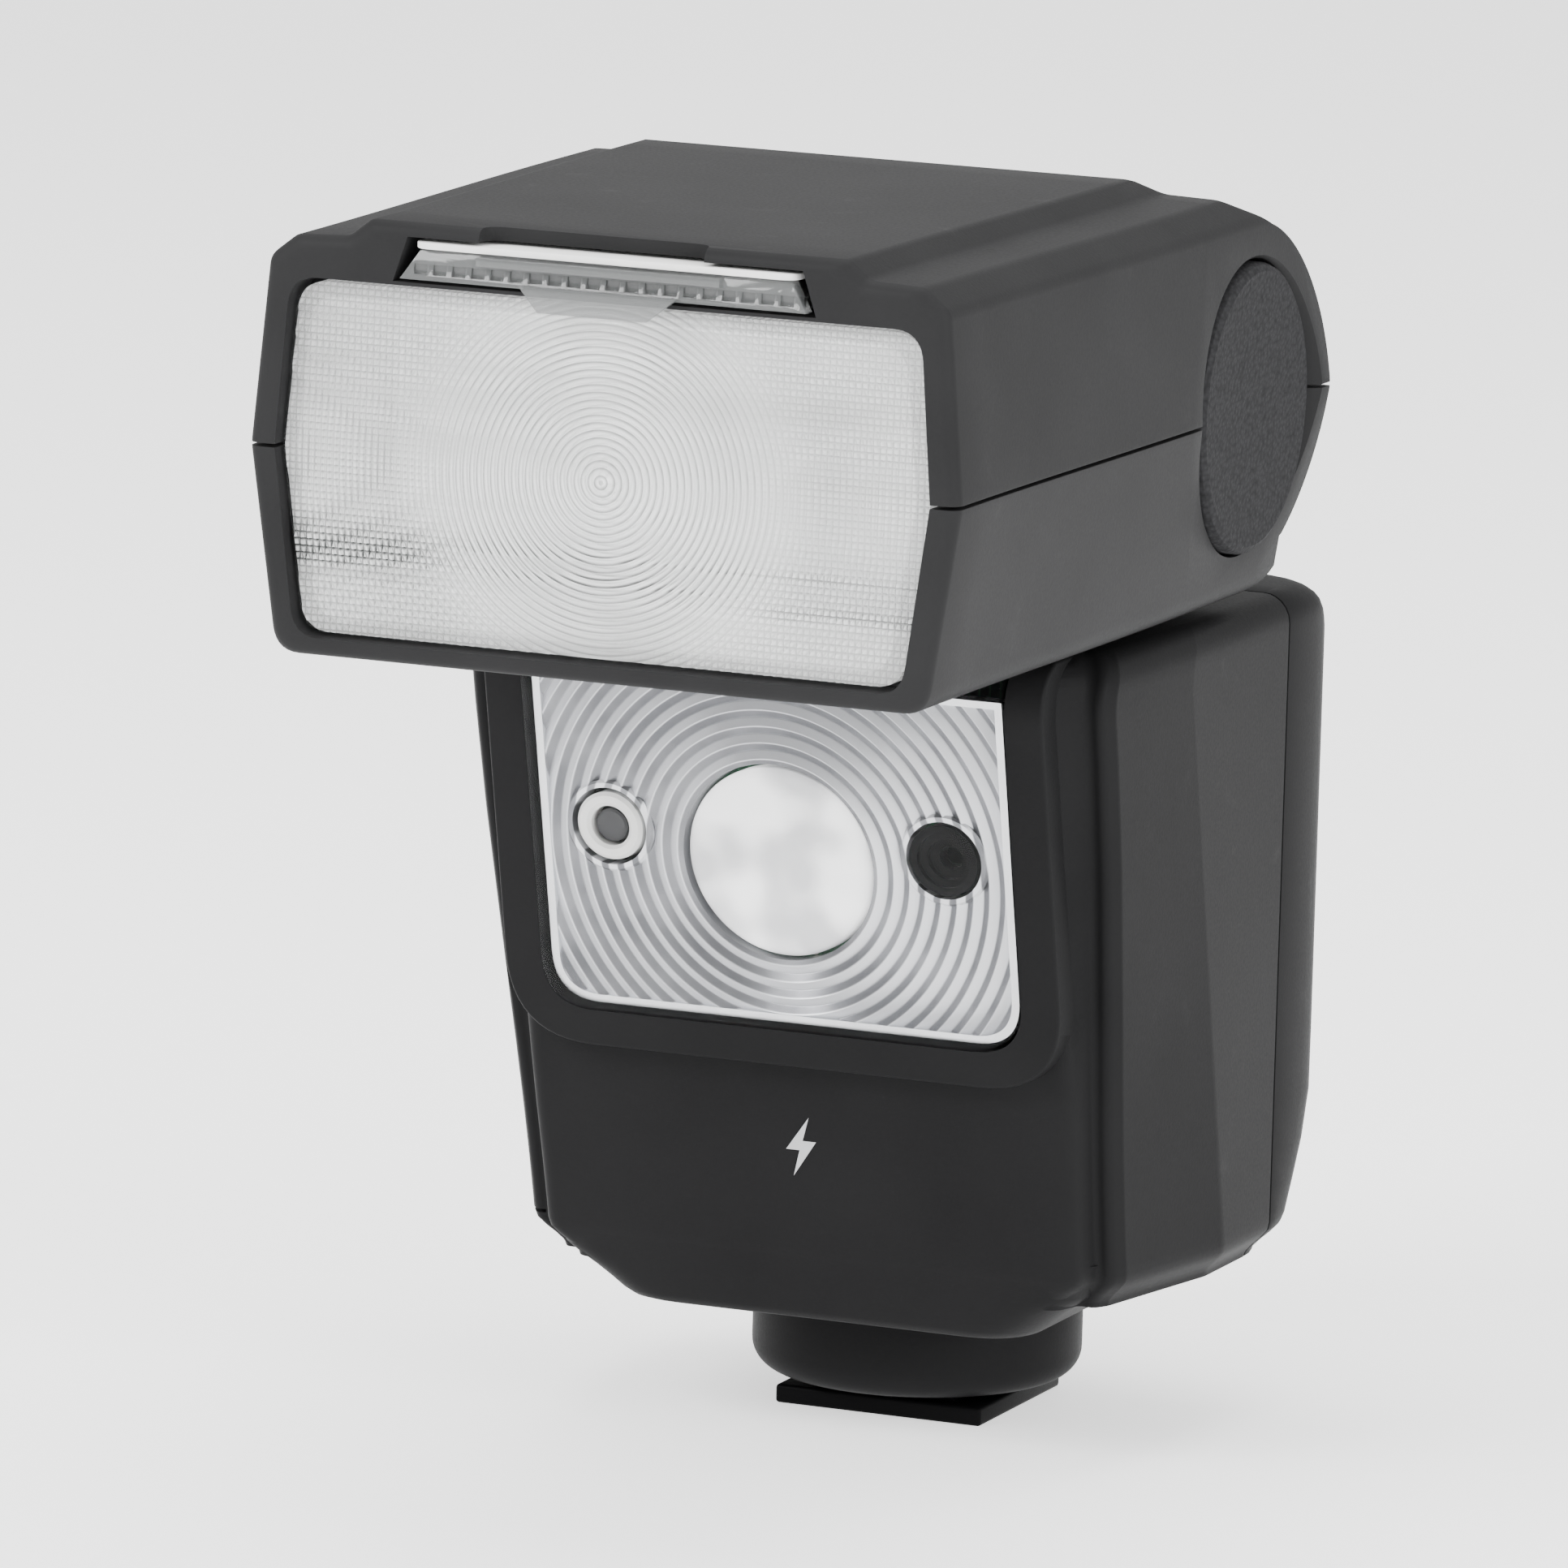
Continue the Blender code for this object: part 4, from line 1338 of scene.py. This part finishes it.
@dataclass
class VideoLamp:
    """The LED lamp behind its clear cover, with the two sensors beside it."""

    form: BodyForm
    lamp_z: float = 51.0
    sensor_x: float = 14.8
    sensor_z: float = 52.7
    rib_pitch: float = 1.4
    rib_height: float = 0.5

    def build(self) -> None:
        """Builds the lamp."""
        self.cover()
        self.reflector()
        self.lens()
        self.sensors()

    def cover(self) -> None:
        """Clear cover that wraps over the top edge."""
        f = self.form
        cover = f.face_strip("lamp_cover", -1.6, -0.4, 32.0, 68.9, 21.0)
        cover.keep(Piece.prism("tool", Axis.Y, f.window_loop(21.0, 37.0, 90, 4.2), -60, -10))
        cover.soften(0.3, 3, 50).dress(Finish.CLEAR, "body", ["led_window"])

    def reflector(self) -> None:
        """Silver plate with ribs in circles round the lens."""
        f = self.form
        profile = [(8.4, 2.6), (8.4, 0.45)]
        radius = 8.9
        while radius < 31.0:
            profile += [(radius, 0.2), (radius + self.rib_pitch * 0.5, 0.2 + self.rib_height)]
            radius += self.rib_pitch
        profile.append((radius, 2.6))
        centre = (0, f.plane_y(self.lamp_z), self.lamp_z)
        plate = Piece.turned("lamp_reflector", Axis.Y, centre, profile, 160, f.lean, closed=True)
        plate.keep(f.face_prism("tool", f.window_loop(20.6, 37.4, 66.6, 4.0), 0.1, 2.7))
        y = f.plane_y(self.sensor_z)
        bores = []
        for x in (-self.sensor_x, self.sensor_x):
            at = (x, y, self.sensor_z)
            lip = [(3.9, 2.4), (3.9, 0.35), (3.7, 0.15), (0.1, 0.15)]
            plate.join(Piece.turned("tool", Axis.Y, at, lip, 96, f.lean))
            bores.append(Piece.turned("tool", Axis.Y, at, [(3.3, -5), (3.3, 9)], 96, f.lean))
        plate.cut(*bores).dress(Finish.RIBBED, "body", ["led_reflector"], 12)
        frame = f.face_prism("lamp_reflector_frame", f.window_loop(20.75, 37.25, 66.7, 4.1), 0.05, 1.2)
        frame.cut(f.face_prism("tool", f.window_loop(20.1, 37.9, 66.1, 3.5), -1.0, 3.0))
        frame.dress(Finish.SILVER, "body")

    def lens(self) -> None:
        """Frosted dome."""
        arc = [math.radians(90 * i / 12.3) for i in range(13)]
        profile = [(8.1, 2.4)] + [(8.1 * math.cos(a), 1.1 - 0.9 * math.sin(a)) for a in arc]
        centre = (0, self.form.plane_y(self.lamp_z), self.lamp_z)
        lens = Piece.turned("lamp_lens", Axis.Y, centre, profile, 96, self.form.lean)
        lens.dress(Finish.FROSTED, "body", ["led_lens"])

    def sensors(self) -> None:
        """White-ringed sensor on the left and stepped black tube on the right."""
        lean, y = self.form.lean, self.form.plane_y(self.sensor_z)
        left, right = (-self.sensor_x, y, self.sensor_z), (self.sensor_x, y, self.sensor_z)
        ring = [(1.7, 2.0), (1.7, 0.4), (2.0, 0.1), (2.6, 0.1), (2.9, 0.4), (2.9, 2.0)]
        Piece.turned("sensor_white_ring", Axis.Y, left, ring, 64, lean, True).dress(
            Finish.WHITE, "body", ["sensor_ring"]
        )
        disc = [(1.4, 1.8), (1.4, 0.75), (1.2, 0.6), (0.4, 0.55)]
        Piece.turned("sensor_grey_disc", Axis.Y, left, disc, 48, lean).dress(
            Finish.GREY, "body", ["sensor_disc"]
        )
        tube = [(1.0, 3.4), (1.0, 1.8), (1.7, 1.5), (1.7, 0.9)]
        tube += [(2.3, 0.7), (2.3, 0.1), (3.0, 0.1), (3.0, 3.4)]
        Piece.turned("sensor_black_tube", Axis.Y, right, tube, 64, lean, True).dress(
            Finish.DARK, "body", ["sensor_tube"]
        )


@dataclass
class RearControls:
    """Screen, keys, dial, test key and power switch."""

    key_xs: tuple[float, ...] = (-18.0, -6.0, 6.0, 18.0)
    dial_z: float = 30.0

    def build(self) -> None:
        """Builds the controls."""
        self.screen()
        self.keys()
        self.dial()
        self.small_controls()

    def screen(self) -> None:
        """Clear screen cover over a display with plain segments."""
        cover = Piece.box("screen_cover", (-17, 16.8, 47.0), (17, 18.1, 63.0))
        cover.soften(0.4, 4).dress(Finish.SCREEN_COVER, "body", ["screen_window"])
        loops = [seg for i, digit in enumerate((2, 4)) for seg in self.segments(digit, -4.0 - 7.0 * i)]
        loops += [slab(-13.5 + 2.2 * i, 48.6, -12.1 + 2.2 * i, 49.2 + 0.28 * i) for i in range(12)]
        loops += [bolt(12.0, 58.5, 4.0), slab(6.5, 52.2, 13.5, 52.7), slab(6.5, 54.2, 11.5, 54.7)]
        plates("screen_segments", loops, lambda z: 16.21, 0.08).dress(Finish.DARK_INK, "body")

    def segments(self, digit: int, x: float) -> list[Loop]:
        """The bars of one seven-bar digit, mirrored in X because the screen is read from +Y.

        Args:
            digit: The digit.
            x: Its right edge as seen from behind.

        Returns:
            The bars' outlines.
        """
        lit = {2: "abged", 4: "fgbc"}[digit]
        wide, tall, low, t = 4.6, 4.2, 52.0, 0.8
        bars = {
            "a": slab(x, low + 2 * tall - t, x + wide, low + 2 * tall),
            "g": slab(x, low + tall - t / 2, x + wide, low + tall + t / 2),
            "d": slab(x, low, x + wide, low + t),
            "b": slab(x, low + tall + t, x + t, low + 2 * tall - 1.2 * t),
            "c": slab(x, low + 1.2 * t, x + t, low + tall - t),
            "f": slab(x + wide - t, low + tall + t, x + wide, low + 2 * tall - 1.2 * t),
            "e": slab(x + wide - t, low + 1.2 * t, x + wide, low + tall - t),
        }
        return [bars[name] for name in lit]

    def keys(self) -> None:
        """Four soft keys with a plain sign on each."""
        names = ("mode", "light", "wireless", "zoom")
        square = ((-0.7, 42.8), (0.7, 42.8), (0.7, 44.2), (-0.7, 44.2))
        for name, x in zip(names, self.key_xs, strict=True):
            key = Piece.box(f"{name}_key_top", (x - 4, 11.6, 42.0), (x + 4, 19.5, 45.0))
            key.soften(0.6, 4).dress(Finish.KEY, f"{name}_key", [f"key_{name}"])
            signs = {
                "mode": [slab(x - 1.4 + i, 42.9, x - 0.9 + i, 44.1) for i in range(3)],
                "light": [filleted([(x + a, b, 0.6) for a, b in square])],
                "wireless": [bolt(x, 43.5, 1.9)],
                "zoom": [slab(x - 1.6, 43.3, x + 1.6, 43.6), slab(x - 0.15, 42.8, x + 0.15, 44.1)],
            }
            plates(f"{name}_key_sign", signs[name], lambda z: 19.47, 0.06).dress(Finish.INK, f"{name}_key")

    def dial(self) -> None:
        """Knurled dial with a dished centre key."""
        profile = [(4.6, 11.8), (4.6, 19.3), (5.3, 19.7), (7.6, 19.5)]
        profile += [(8.6, 20.2), (9.2, 19.9), (9.4, 19.2), (9.4, 11.8)]
        dial = Piece.turned(
            "rear_dial", Axis.Y, (0, 0, self.dial_z), profile, 192, 0.0, True,
            lambda angle, radius: -0.22 * (0.5 + 0.5 * math.cos(angle * 48)) if radius > 8.5 else 0.0,
        )
        dial.dress(Finish.DARK, "dial", ["control_dial"])
        profile = [(4.2, 11.8), (4.2, 19.2), (3.9, 19.6), (3.2, 19.7), (1.2, 19.45), (0.3, 19.42)]
        centre = Piece.turned("rear_dial_centre", Axis.Y, (0, 0, self.dial_z), profile, 64)
        centre.dress(Finish.KEY, "dial_centre", ["dial_key"])

    def small_controls(self) -> None:
        """Test key and ribbed power switch."""
        profile = [(3.0, 11.8), (3.0, 18.9), (2.7, 19.3), (2.1, 19.4), (0.3, 19.3)]
        test = Piece.turned("test_key_top", Axis.Y, (-20, 0, self.dial_z), profile, 64)
        test.dress(Finish.RED_KEY, "test_key", ["key_test"])
        switch = Piece.box("power_slide", (15.5, 11.8, 27.9), (20.5, 19.7, 32.1))
        ribs = [Piece.box("tool", (16.1 + 0.95 * i, 19.1, 27), (16.6 + 0.95 * i, 21, 33)) for i in range(4)]
        switch.cut(*ribs).soften(0.15, 2).dress(Finish.KEY, "switch", ["power_switch"])
        latch = Piece.box("door_latch_slide", (-29.1, -9.3, 28.6), (-28.75, -3.2, 39.4))
        grips = [Piece.box("tool", (-30, -8.5 + 1.0 * i, 30), (-28.95, -8.0 + 1.0 * i, 38)) for i in range(5)]
        latch.cut(*grips).dress(Finish.KEY, "latch", ["door_latch"])


@dataclass
class HeadShells:
    """Upper and lower head shells with the cheek caps."""

    form: HeadForm
    cheek_in: float = 15.2
    cap_radius: float = 12.0
    panel_half: float = 18.1

    def build(self) -> None:
        """Builds the shells and caps."""
        for upper in (True, False):
            self.shell(upper)
        self.caps()

    def shell(self, upper: bool) -> None:
        """Builds one shell.

        Args:
            upper: Whether it is the upper one.
        """
        f = self.form
        name = "head_top_shell" if upper else "head_base_shell"
        node = "head_upper_shell" if upper else "head_lower_shell"
        low, high = (f.seam + f.gap / 2, 120) if upper else (50, f.seam - f.gap / 2)
        shell = f.block(name).keep(f.side_tool())
        shell.cut(f.block("tool", f.wall, -67.6, -26.0))
        shell.keep(Piece.box("tool", (-50, -90, low), (50, 40, high)))
        tools = [
            Piece.prism("tool", Axis.Y, f.lens_loop(0.5), -75, f.lens_face + 2.6),
            Piece.box("tool", (-self.cheek_in, -24.6, 60), (self.cheek_in, 30, 97.5)),
            Piece.turned("tool", Axis.X, f.pivot, [(3.3, -26), (3.3, 26)], 48),
        ]
        for side in (-1, 1):
            tools.append(Piece.turned("tool", Axis.X, f.pivot, [(10.4, side * 20.9), (10.4, side * 40)]))
            bore = self.cap_radius + f.gap
            seat = [(bore, 27.4), (bore, 30.1), (12.9, 30.9), (13.8, 31.9), (13.8, 40)]
            tools.append(Piece.turned("tool", Axis.X, f.pivot, [(r, side * a) for r, a in seat]))
        if upper:
            slot = [(-self.panel_half, 102.0), (self.panel_half, 102.0), (16.9, 105.6), (-16.9, 105.6)]
            tools.append(Piece.prism("tool", Axis.Y, slot, -80, -29.0))
            scoop = filleted([(-10.8, -74.0, 0.2), (8.5, -74.0, 0.2), (8.5, -68.9, 1.6), (-10.8, -68.9, 1.6)])
            tools.append(Piece.prism("tool", Axis.Z, scoop, 105.2, 110))
        shell.cut(*tools).soften(0.22, 3, 42).dress(Finish.HEAD, "head", [node], 28)

    def caps(self) -> None:
        """Grained cap on the right, and the ribbed release key in its surround on the left."""
        f = self.form
        cap = [(12.0, 27.8), (12.0, 30.3), (11.8, 30.75), (11.3, 31.05), (10.6, 31.0), (0.4, 30.85)]
        Piece.turned("cheek_cap", Axis.X, f.pivot, cap, 128).dress(Finish.CAP, "head", ["pivot_cap"])
        ring = [(8.0, -27.8), (8.0, -30.5), (8.4, -30.9), (11.4, -30.9), (12.0, -30.4), (12.0, -27.8)]
        Piece.turned("release_ring", Axis.X, f.pivot, ring, 128, 0.0, True).dress(
            Finish.CAP, "head", ["release_surround"]
        )
        profile = [(7.6, -28.0), (7.6, -31.5), (7.2, -32.1), (6.5, -32.3)]
        key = Piece.turned("release_key", Axis.X, f.pivot, profile, 96)
        y, lows = f.pivot_y, [f.pivot_z - 3.3 + 1.6 * i for i in range(5)]
        lines = [Piece.box("tool", (-33, y - 6, low), (-31.95, y + 6, low + 0.7)) for low in lows]
        key.cut(*lines).soften(0.1, 2, 50).dress(Finish.KEY, "tilt_release_key", ["tilt_release"])


@dataclass
class HeadOptics:
    """Fresnel window, wide panel and bounce card."""

    form: HeadForm
    groove: float = 0.6
    depth: float = 0.16
    cells: int = 20

    def build(self) -> None:
        """Builds the optics."""
        self.window()
        self.panel()
        self.card()

    def window(self) -> None:
        """Window with circular prism grooves cut in its front."""
        f = self.form
        profile = [(0.2, 2.2), (0.2, 0.05)]
        radius = 0.8
        while radius < 36.0:
            profile += [(radius, 0.0), (radius + self.groove * 0.85, self.depth)]
            radius += self.groove
        profile.append((radius, 2.2))
        centre = (-0.3, f.lens_face, 87.3)
        plate = Piece.turned("fresnel_plate", Axis.Y, centre, profile, 160)
        plate.keep(Piece.prism("tool", Axis.Y, f.lens_loop(0.1), f.lens_face - 1, f.lens_face + 3))
        plate.dress(Finish.PRISM, "head", ["fresnel_window"], 10)
        inner, outer = f.lens_loop(-1.0), f.lens_loop(0.1)
        rim = Piece.prism("fresnel_rim", Axis.Y, outer, f.lens_face - 0.25, f.lens_face - 0.02)
        rim.cut(Piece.prism("tool", Axis.Y, inner, f.lens_face - 2, f.lens_face + 2))
        rim.dress(Finish.CLEAR, "head")

    def panel(self) -> None:
        """Clear grey panel: plate, beaded front lip, raised strip and pull tab."""
        panel = Piece.box("wide_panel_plate", (-16.8, -70.4, 102.4), (16.8, -29.4, 103.4))
        ends = ((102.3, 17.4, -71.3), (104.6, 15.9, -70.7))
        rings = [[(-h, y, z), (h, y, z), (h, y + 1.2, z), (-h, y + 1.2, z)] for z, h, y in ends]
        panel.join(Piece.loft("tool", rings))
        tab = [(-6.9, 102.6), (6.6, 102.6), (4.0, 100.6), (-5.2, 100.6)]
        panel.join(Piece.prism("tool", Axis.Y, tab, -71.95, -71.25))
        panel.join(Piece.box("tool", (-10.7, -71.6, 103.8), (10.1, -70.6, 104.5)))
        pitch = 33.0 / self.cells
        dents = [
            Piece.box(
                "tool",
                (-16.5 + pitch * i + 0.25, -72.2, 102.75),
                (-16.5 + pitch * (i + 1) - 0.25, -70.75, 103.55),
            )
            for i in range(self.cells)
        ]
        panel.cut(*dents).soften(0.12, 2, 45).dress(Finish.PANEL, "wide_panel_body", ["wide_panel"])

    def card(self) -> None:
        """White card with round corners."""
        loop = filleted([(-16.4, -71.2, 1.5), (16.4, -71.2, 1.5), (16.4, -29.4, 0.5), (-16.4, -29.4, 0.5)])
        card = Piece.prism("bounce_card_sheet", Axis.Z, loop, 104.75, 105.3)
        card.soften(0.1, 2).dress(Finish.WHITE, "bounce_card_body", ["bounce_card"])


@dataclass
class NeckAndShoe:
    """Swivel neck, collar, shoe foot, contacts and lock lever."""

    collar_radius: float = 13.9
    contacts: tuple[tuple[float, float], ...] = ((0.0, 0.0), (-3.4, 3.6), (3.4, 3.6), (-3.4, -2.6))
    pin_y: float = -6.1

    def build(self) -> None:
        """Builds the neck and the shoe."""
        self.neck()
        self.collar()
        self.foot()
        self.lever()

    def neck(self) -> None:
        """Swivel table and the post that holds the tilt shaft."""
        centre, y, z = (0, -8.4, 0), -8.4, 87.8
        profile = [(10.8, 66.0), (10.8, 70.6), (13.9, 70.6), (14.2, 70.9), (14.2, 72.5), (13.7, 73.0)]
        neck = Piece.turned("neck_table", Axis.Z, centre, profile, 128)
        angles = [math.radians(a) for a in range(0, 181, 6)]
        crown = [(y + 8.2 * math.cos(a), z + 8.2 * math.sin(a)) for a in angles]
        outline = [(y - 7.0, 71.5), (y + 7.0, 71.5), *crown]
        neck.join(Piece.prism("tool", Axis.X, outline, -11.5, 11.5))
        neck.cut(
            Piece.turned("tool", Axis.X, (0, y, z), [(3.3, -20), (3.3, 20)], 48),
            Piece.turned("tool", Axis.Z, centre, [(3.5, 60), (3.5, 79)], 48),
        )
        neck.soften(0.3, 3, 42).dress(Finish.SHELL, "neck", ["swivel_neck"])

    def collar(self) -> None:
        """Round collar over the shoe, with the lever's slot."""
        r = self.collar_radius
        turn = [math.radians(90 * i / 12) for i in range(13)]
        profile = [(r, 10.2)] + [(r - 2.4 + 2.4 * math.cos(a), 4.9 - 2.4 * math.sin(a)) for a in turn]
        collar = Piece.turned("shoe_collar_ring", Axis.Z, (0, 0, 0), profile, 128)
        collar.cut(
            Piece.turned("tool", Axis.Z, (0, 0, 0), [(r - 1.6, 4.2), (r - 1.6, 12)]),
            Piece.box("tool", (-6.9, -7.4, 0), (6.9, 7.4, 6)),
            Piece.box("tool", (-9.5, 6, 5.4), (9.5, 20, 8.6)),
        )
        collar.soften(0.2, 2, 50).dress(Finish.SHELL, "body", ["shoe_collar"])

    def foot(self) -> None:
        """Shoe foot with its contacts and lock pin."""
        foot = Piece.box("shoe_foot_plate", (-9.3, -8.4, 0), (9.3, 9.4, 1.6)).soften(0.3, 3)
        foot.join(Piece.box("tool", (-6.3, -6.9, 1), (6.3, 6.9, 9.0)))
        bore = [(1.3, -1), (1.3, 20)]
        bores = [Piece.turned("tool", Axis.Z, (x, y, 0), bore, 40) for x, y in self.contacts]
        bores.append(Piece.turned("tool", Axis.Z, (0, self.pin_y, 0), [(1.25, -1), (1.25, 20)], 40))
        foot.cut(*bores).dress(Finish.DARK, "body", ["shoe_foot"])
        pin = [(0.3, 0.1), (0.7, 0.18), (0.95, 0.5), (0.95, 9.2)]
        for i, (x, y) in enumerate(self.contacts):
            made = Piece.turned(f"shoe_contact_{i + 1}", Axis.Z, (x, y, 0), pin, 40)
            made.dress(Finish.GOLD, "body", [f"contact_pin_{i + 1}"])
        lock = [(0.4, 0.3), (0.75, 0.4), (0.9, 0.7), (0.9, 8.6)]
        pin = Piece.turned("shoe_lock_pin", Axis.Z, (0, self.pin_y, 0), lock, 40)
        pin.dress(Finish.STEEL, "pin", ["lock_pin"])

    def lever(self) -> None:
        """Lock lever with a ribbed tab."""
        ring = [(9.6, 6.0), (9.6, 8.0), (11.4, 8.0), (11.4, 6.0)]
        lever = Piece.turned("shoe_lock_lever", Axis.Z, (0, 0, 0), ring, 96, 0.0, True)
        lever.join(Piece.box("tool", (-2.6, 10.6, 6.0), (2.6, 17.5, 8.0)))
        ribs = [Piece.box("tool", (-2.1 + 1.1 * i, 16.9, 5), (-1.5 + 1.1 * i, 18, 9)) for i in range(4)]
        lever.cut(*ribs).soften(0.15, 2, 45).dress(Finish.DARK, "lever", ["lock_lever"])


@dataclass
class Internals:
    """Solids inside the shells, which keep their shape and take a finish."""

    frame: dict[str, dict[str, bpy.types.Object]]

    def finishes(self) -> dict[str, Finish]:
        """Gives the finish of every solid that stays.

        Returns:
            A finish by node name.
        """
        made = {f"battery_{i}": Finish.CELL for i in range(1, 5)}
        sprung = ("contact_plate_left", "contact_plate_right", "swivel_retainer", "tilt_detent")
        made |= dict.fromkeys(sprung, Finish.NICKEL)
        made |= dict.fromkeys(("main_board", "key_board", "led_board", "trigger_board"), Finish.BOARD)
        bright = ("tilt_shaft", "zoom_rod_1", "zoom_rod_2", "lead_screw", "zoom_motor")
        made |= dict.fromkeys(bright, Finish.STEEL)
        made |= {
            "main_capacitor": Finish.SLEEVE,
            "screen_module": Finish.SCREEN,
            "flash_reflector": Finish.BOWL,
            "flash_tube": Finish.GLASS,
            "zoom_carriage": Finish.DARK,
            "card_tray": Finish.DARK,
        }
        return made

    def build(self) -> None:
        """Dresses the solids."""
        for name, finish in self.finishes().items():
            slots = self.frame["nodes"][name].data.materials
            for i in range(len(slots)):
                slots[i] = finish.material()
            LOG.info("%s takes %s", name, finish.value.name)


@dataclass
class Studio:
    """Floor, lights, world and camera."""

    azimuth: float = 22.9
    elevation: float = 10.3
    roll: float = 0.027
    distance: float = 1136.0
    lens: float = 310.6
    target: tuple[float, float, float] = (-13.53, 0.0, 51.07)

    def build(self) -> None:
        """Sets the stage."""
        self.floor()
        self.light("key_light", (-420, -620, 560), 420, 9.0)
        self.light("side_light", (620, -260, 300), 380, 4.0)
        self.light("top_light", (0, 60, 760), 520, 5.0)
        world = bpy.data.worlds.new("pale_world")
        world.use_nodes = True
        world.node_tree.nodes["Background"].inputs[0].default_value = (1, 1, 1, 1)
        world.node_tree.nodes["Background"].inputs[1].default_value = 1.15
        bpy.context.scene.world = world
        self.camera()

    def floor(self) -> None:
        """A wide pale sheet under the foot."""
        corners = [(-3000, -3000, 0), (3000, -3000, 0), (3000, 3000, 0), (-3000, 3000, 0)]
        floor = Piece("studio_floor", corners, [[0, 1, 2, 3]])
        floor.obj.data.materials.append(Finish.FLOOR.material())

    def light(self, name: str, place: Sequence[float], size: float, power: float) -> None:
        """Adds a soft square light that faces the object.

        Args:
            name: Its name.
            place: Where it stands.
            size: Its side.
            power: Watts.
        """
        data = bpy.data.lights.new(name, "AREA")
        data.size, data.energy = size * MM, power
        lamp = bpy.data.objects.new(name, data)
        bpy.context.scene.collection.objects.link(lamp)
        lamp.location = Vector(place) * MM
        aim = Vector((0, -20, 55)) * MM - lamp.location
        lamp.rotation_euler = aim.to_track_quat("-Z", "Y").to_euler()

    def camera(self) -> None:
        """Places the camera with its slight roll."""
        a, e = math.radians(self.azimuth), math.radians(self.elevation)
        back = Vector((math.sin(a) * math.cos(e), -math.cos(a) * math.cos(e), math.sin(e)))
        right = Vector((math.cos(a), math.sin(a), 0.0))
        up = right.cross(-back)
        x = right * math.cos(self.roll) + up * math.sin(self.roll)
        y = up * math.cos(self.roll) - right * math.sin(self.roll)
        data = bpy.data.cameras.new("studio_camera")
        data.lens, data.sensor_width = self.lens, 36.0
        data.clip_start, data.clip_end = 0.05, 20.0
        cam = bpy.data.objects.new("studio_camera", data)
        bpy.context.scene.collection.objects.link(cam)
        turn = Matrix((x, y, back)).transposed().to_4x4()
        cam.matrix_world = Matrix.Translation((Vector(self.target) + back * self.distance) * MM) @ turn
        bpy.context.scene.camera = cam


def main() -> None:
    """Builds the flash and its stage."""
    logging.basicConfig(level=logging.INFO, format="%(name)s: %(message)s")
    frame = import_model()
    body, head = BodyForm(), HeadForm()
    for part in (
        Studio(),
        BodyShells(body),
        VideoLamp(body),
        RearControls(),
        HeadShells(head),
        HeadOptics(head),
        NeckAndShoe(),
        Internals(frame),
    ):
        LOG.info("building %s", type(part).__name__)
        part.build()


if __name__ == "__main__":
    main()
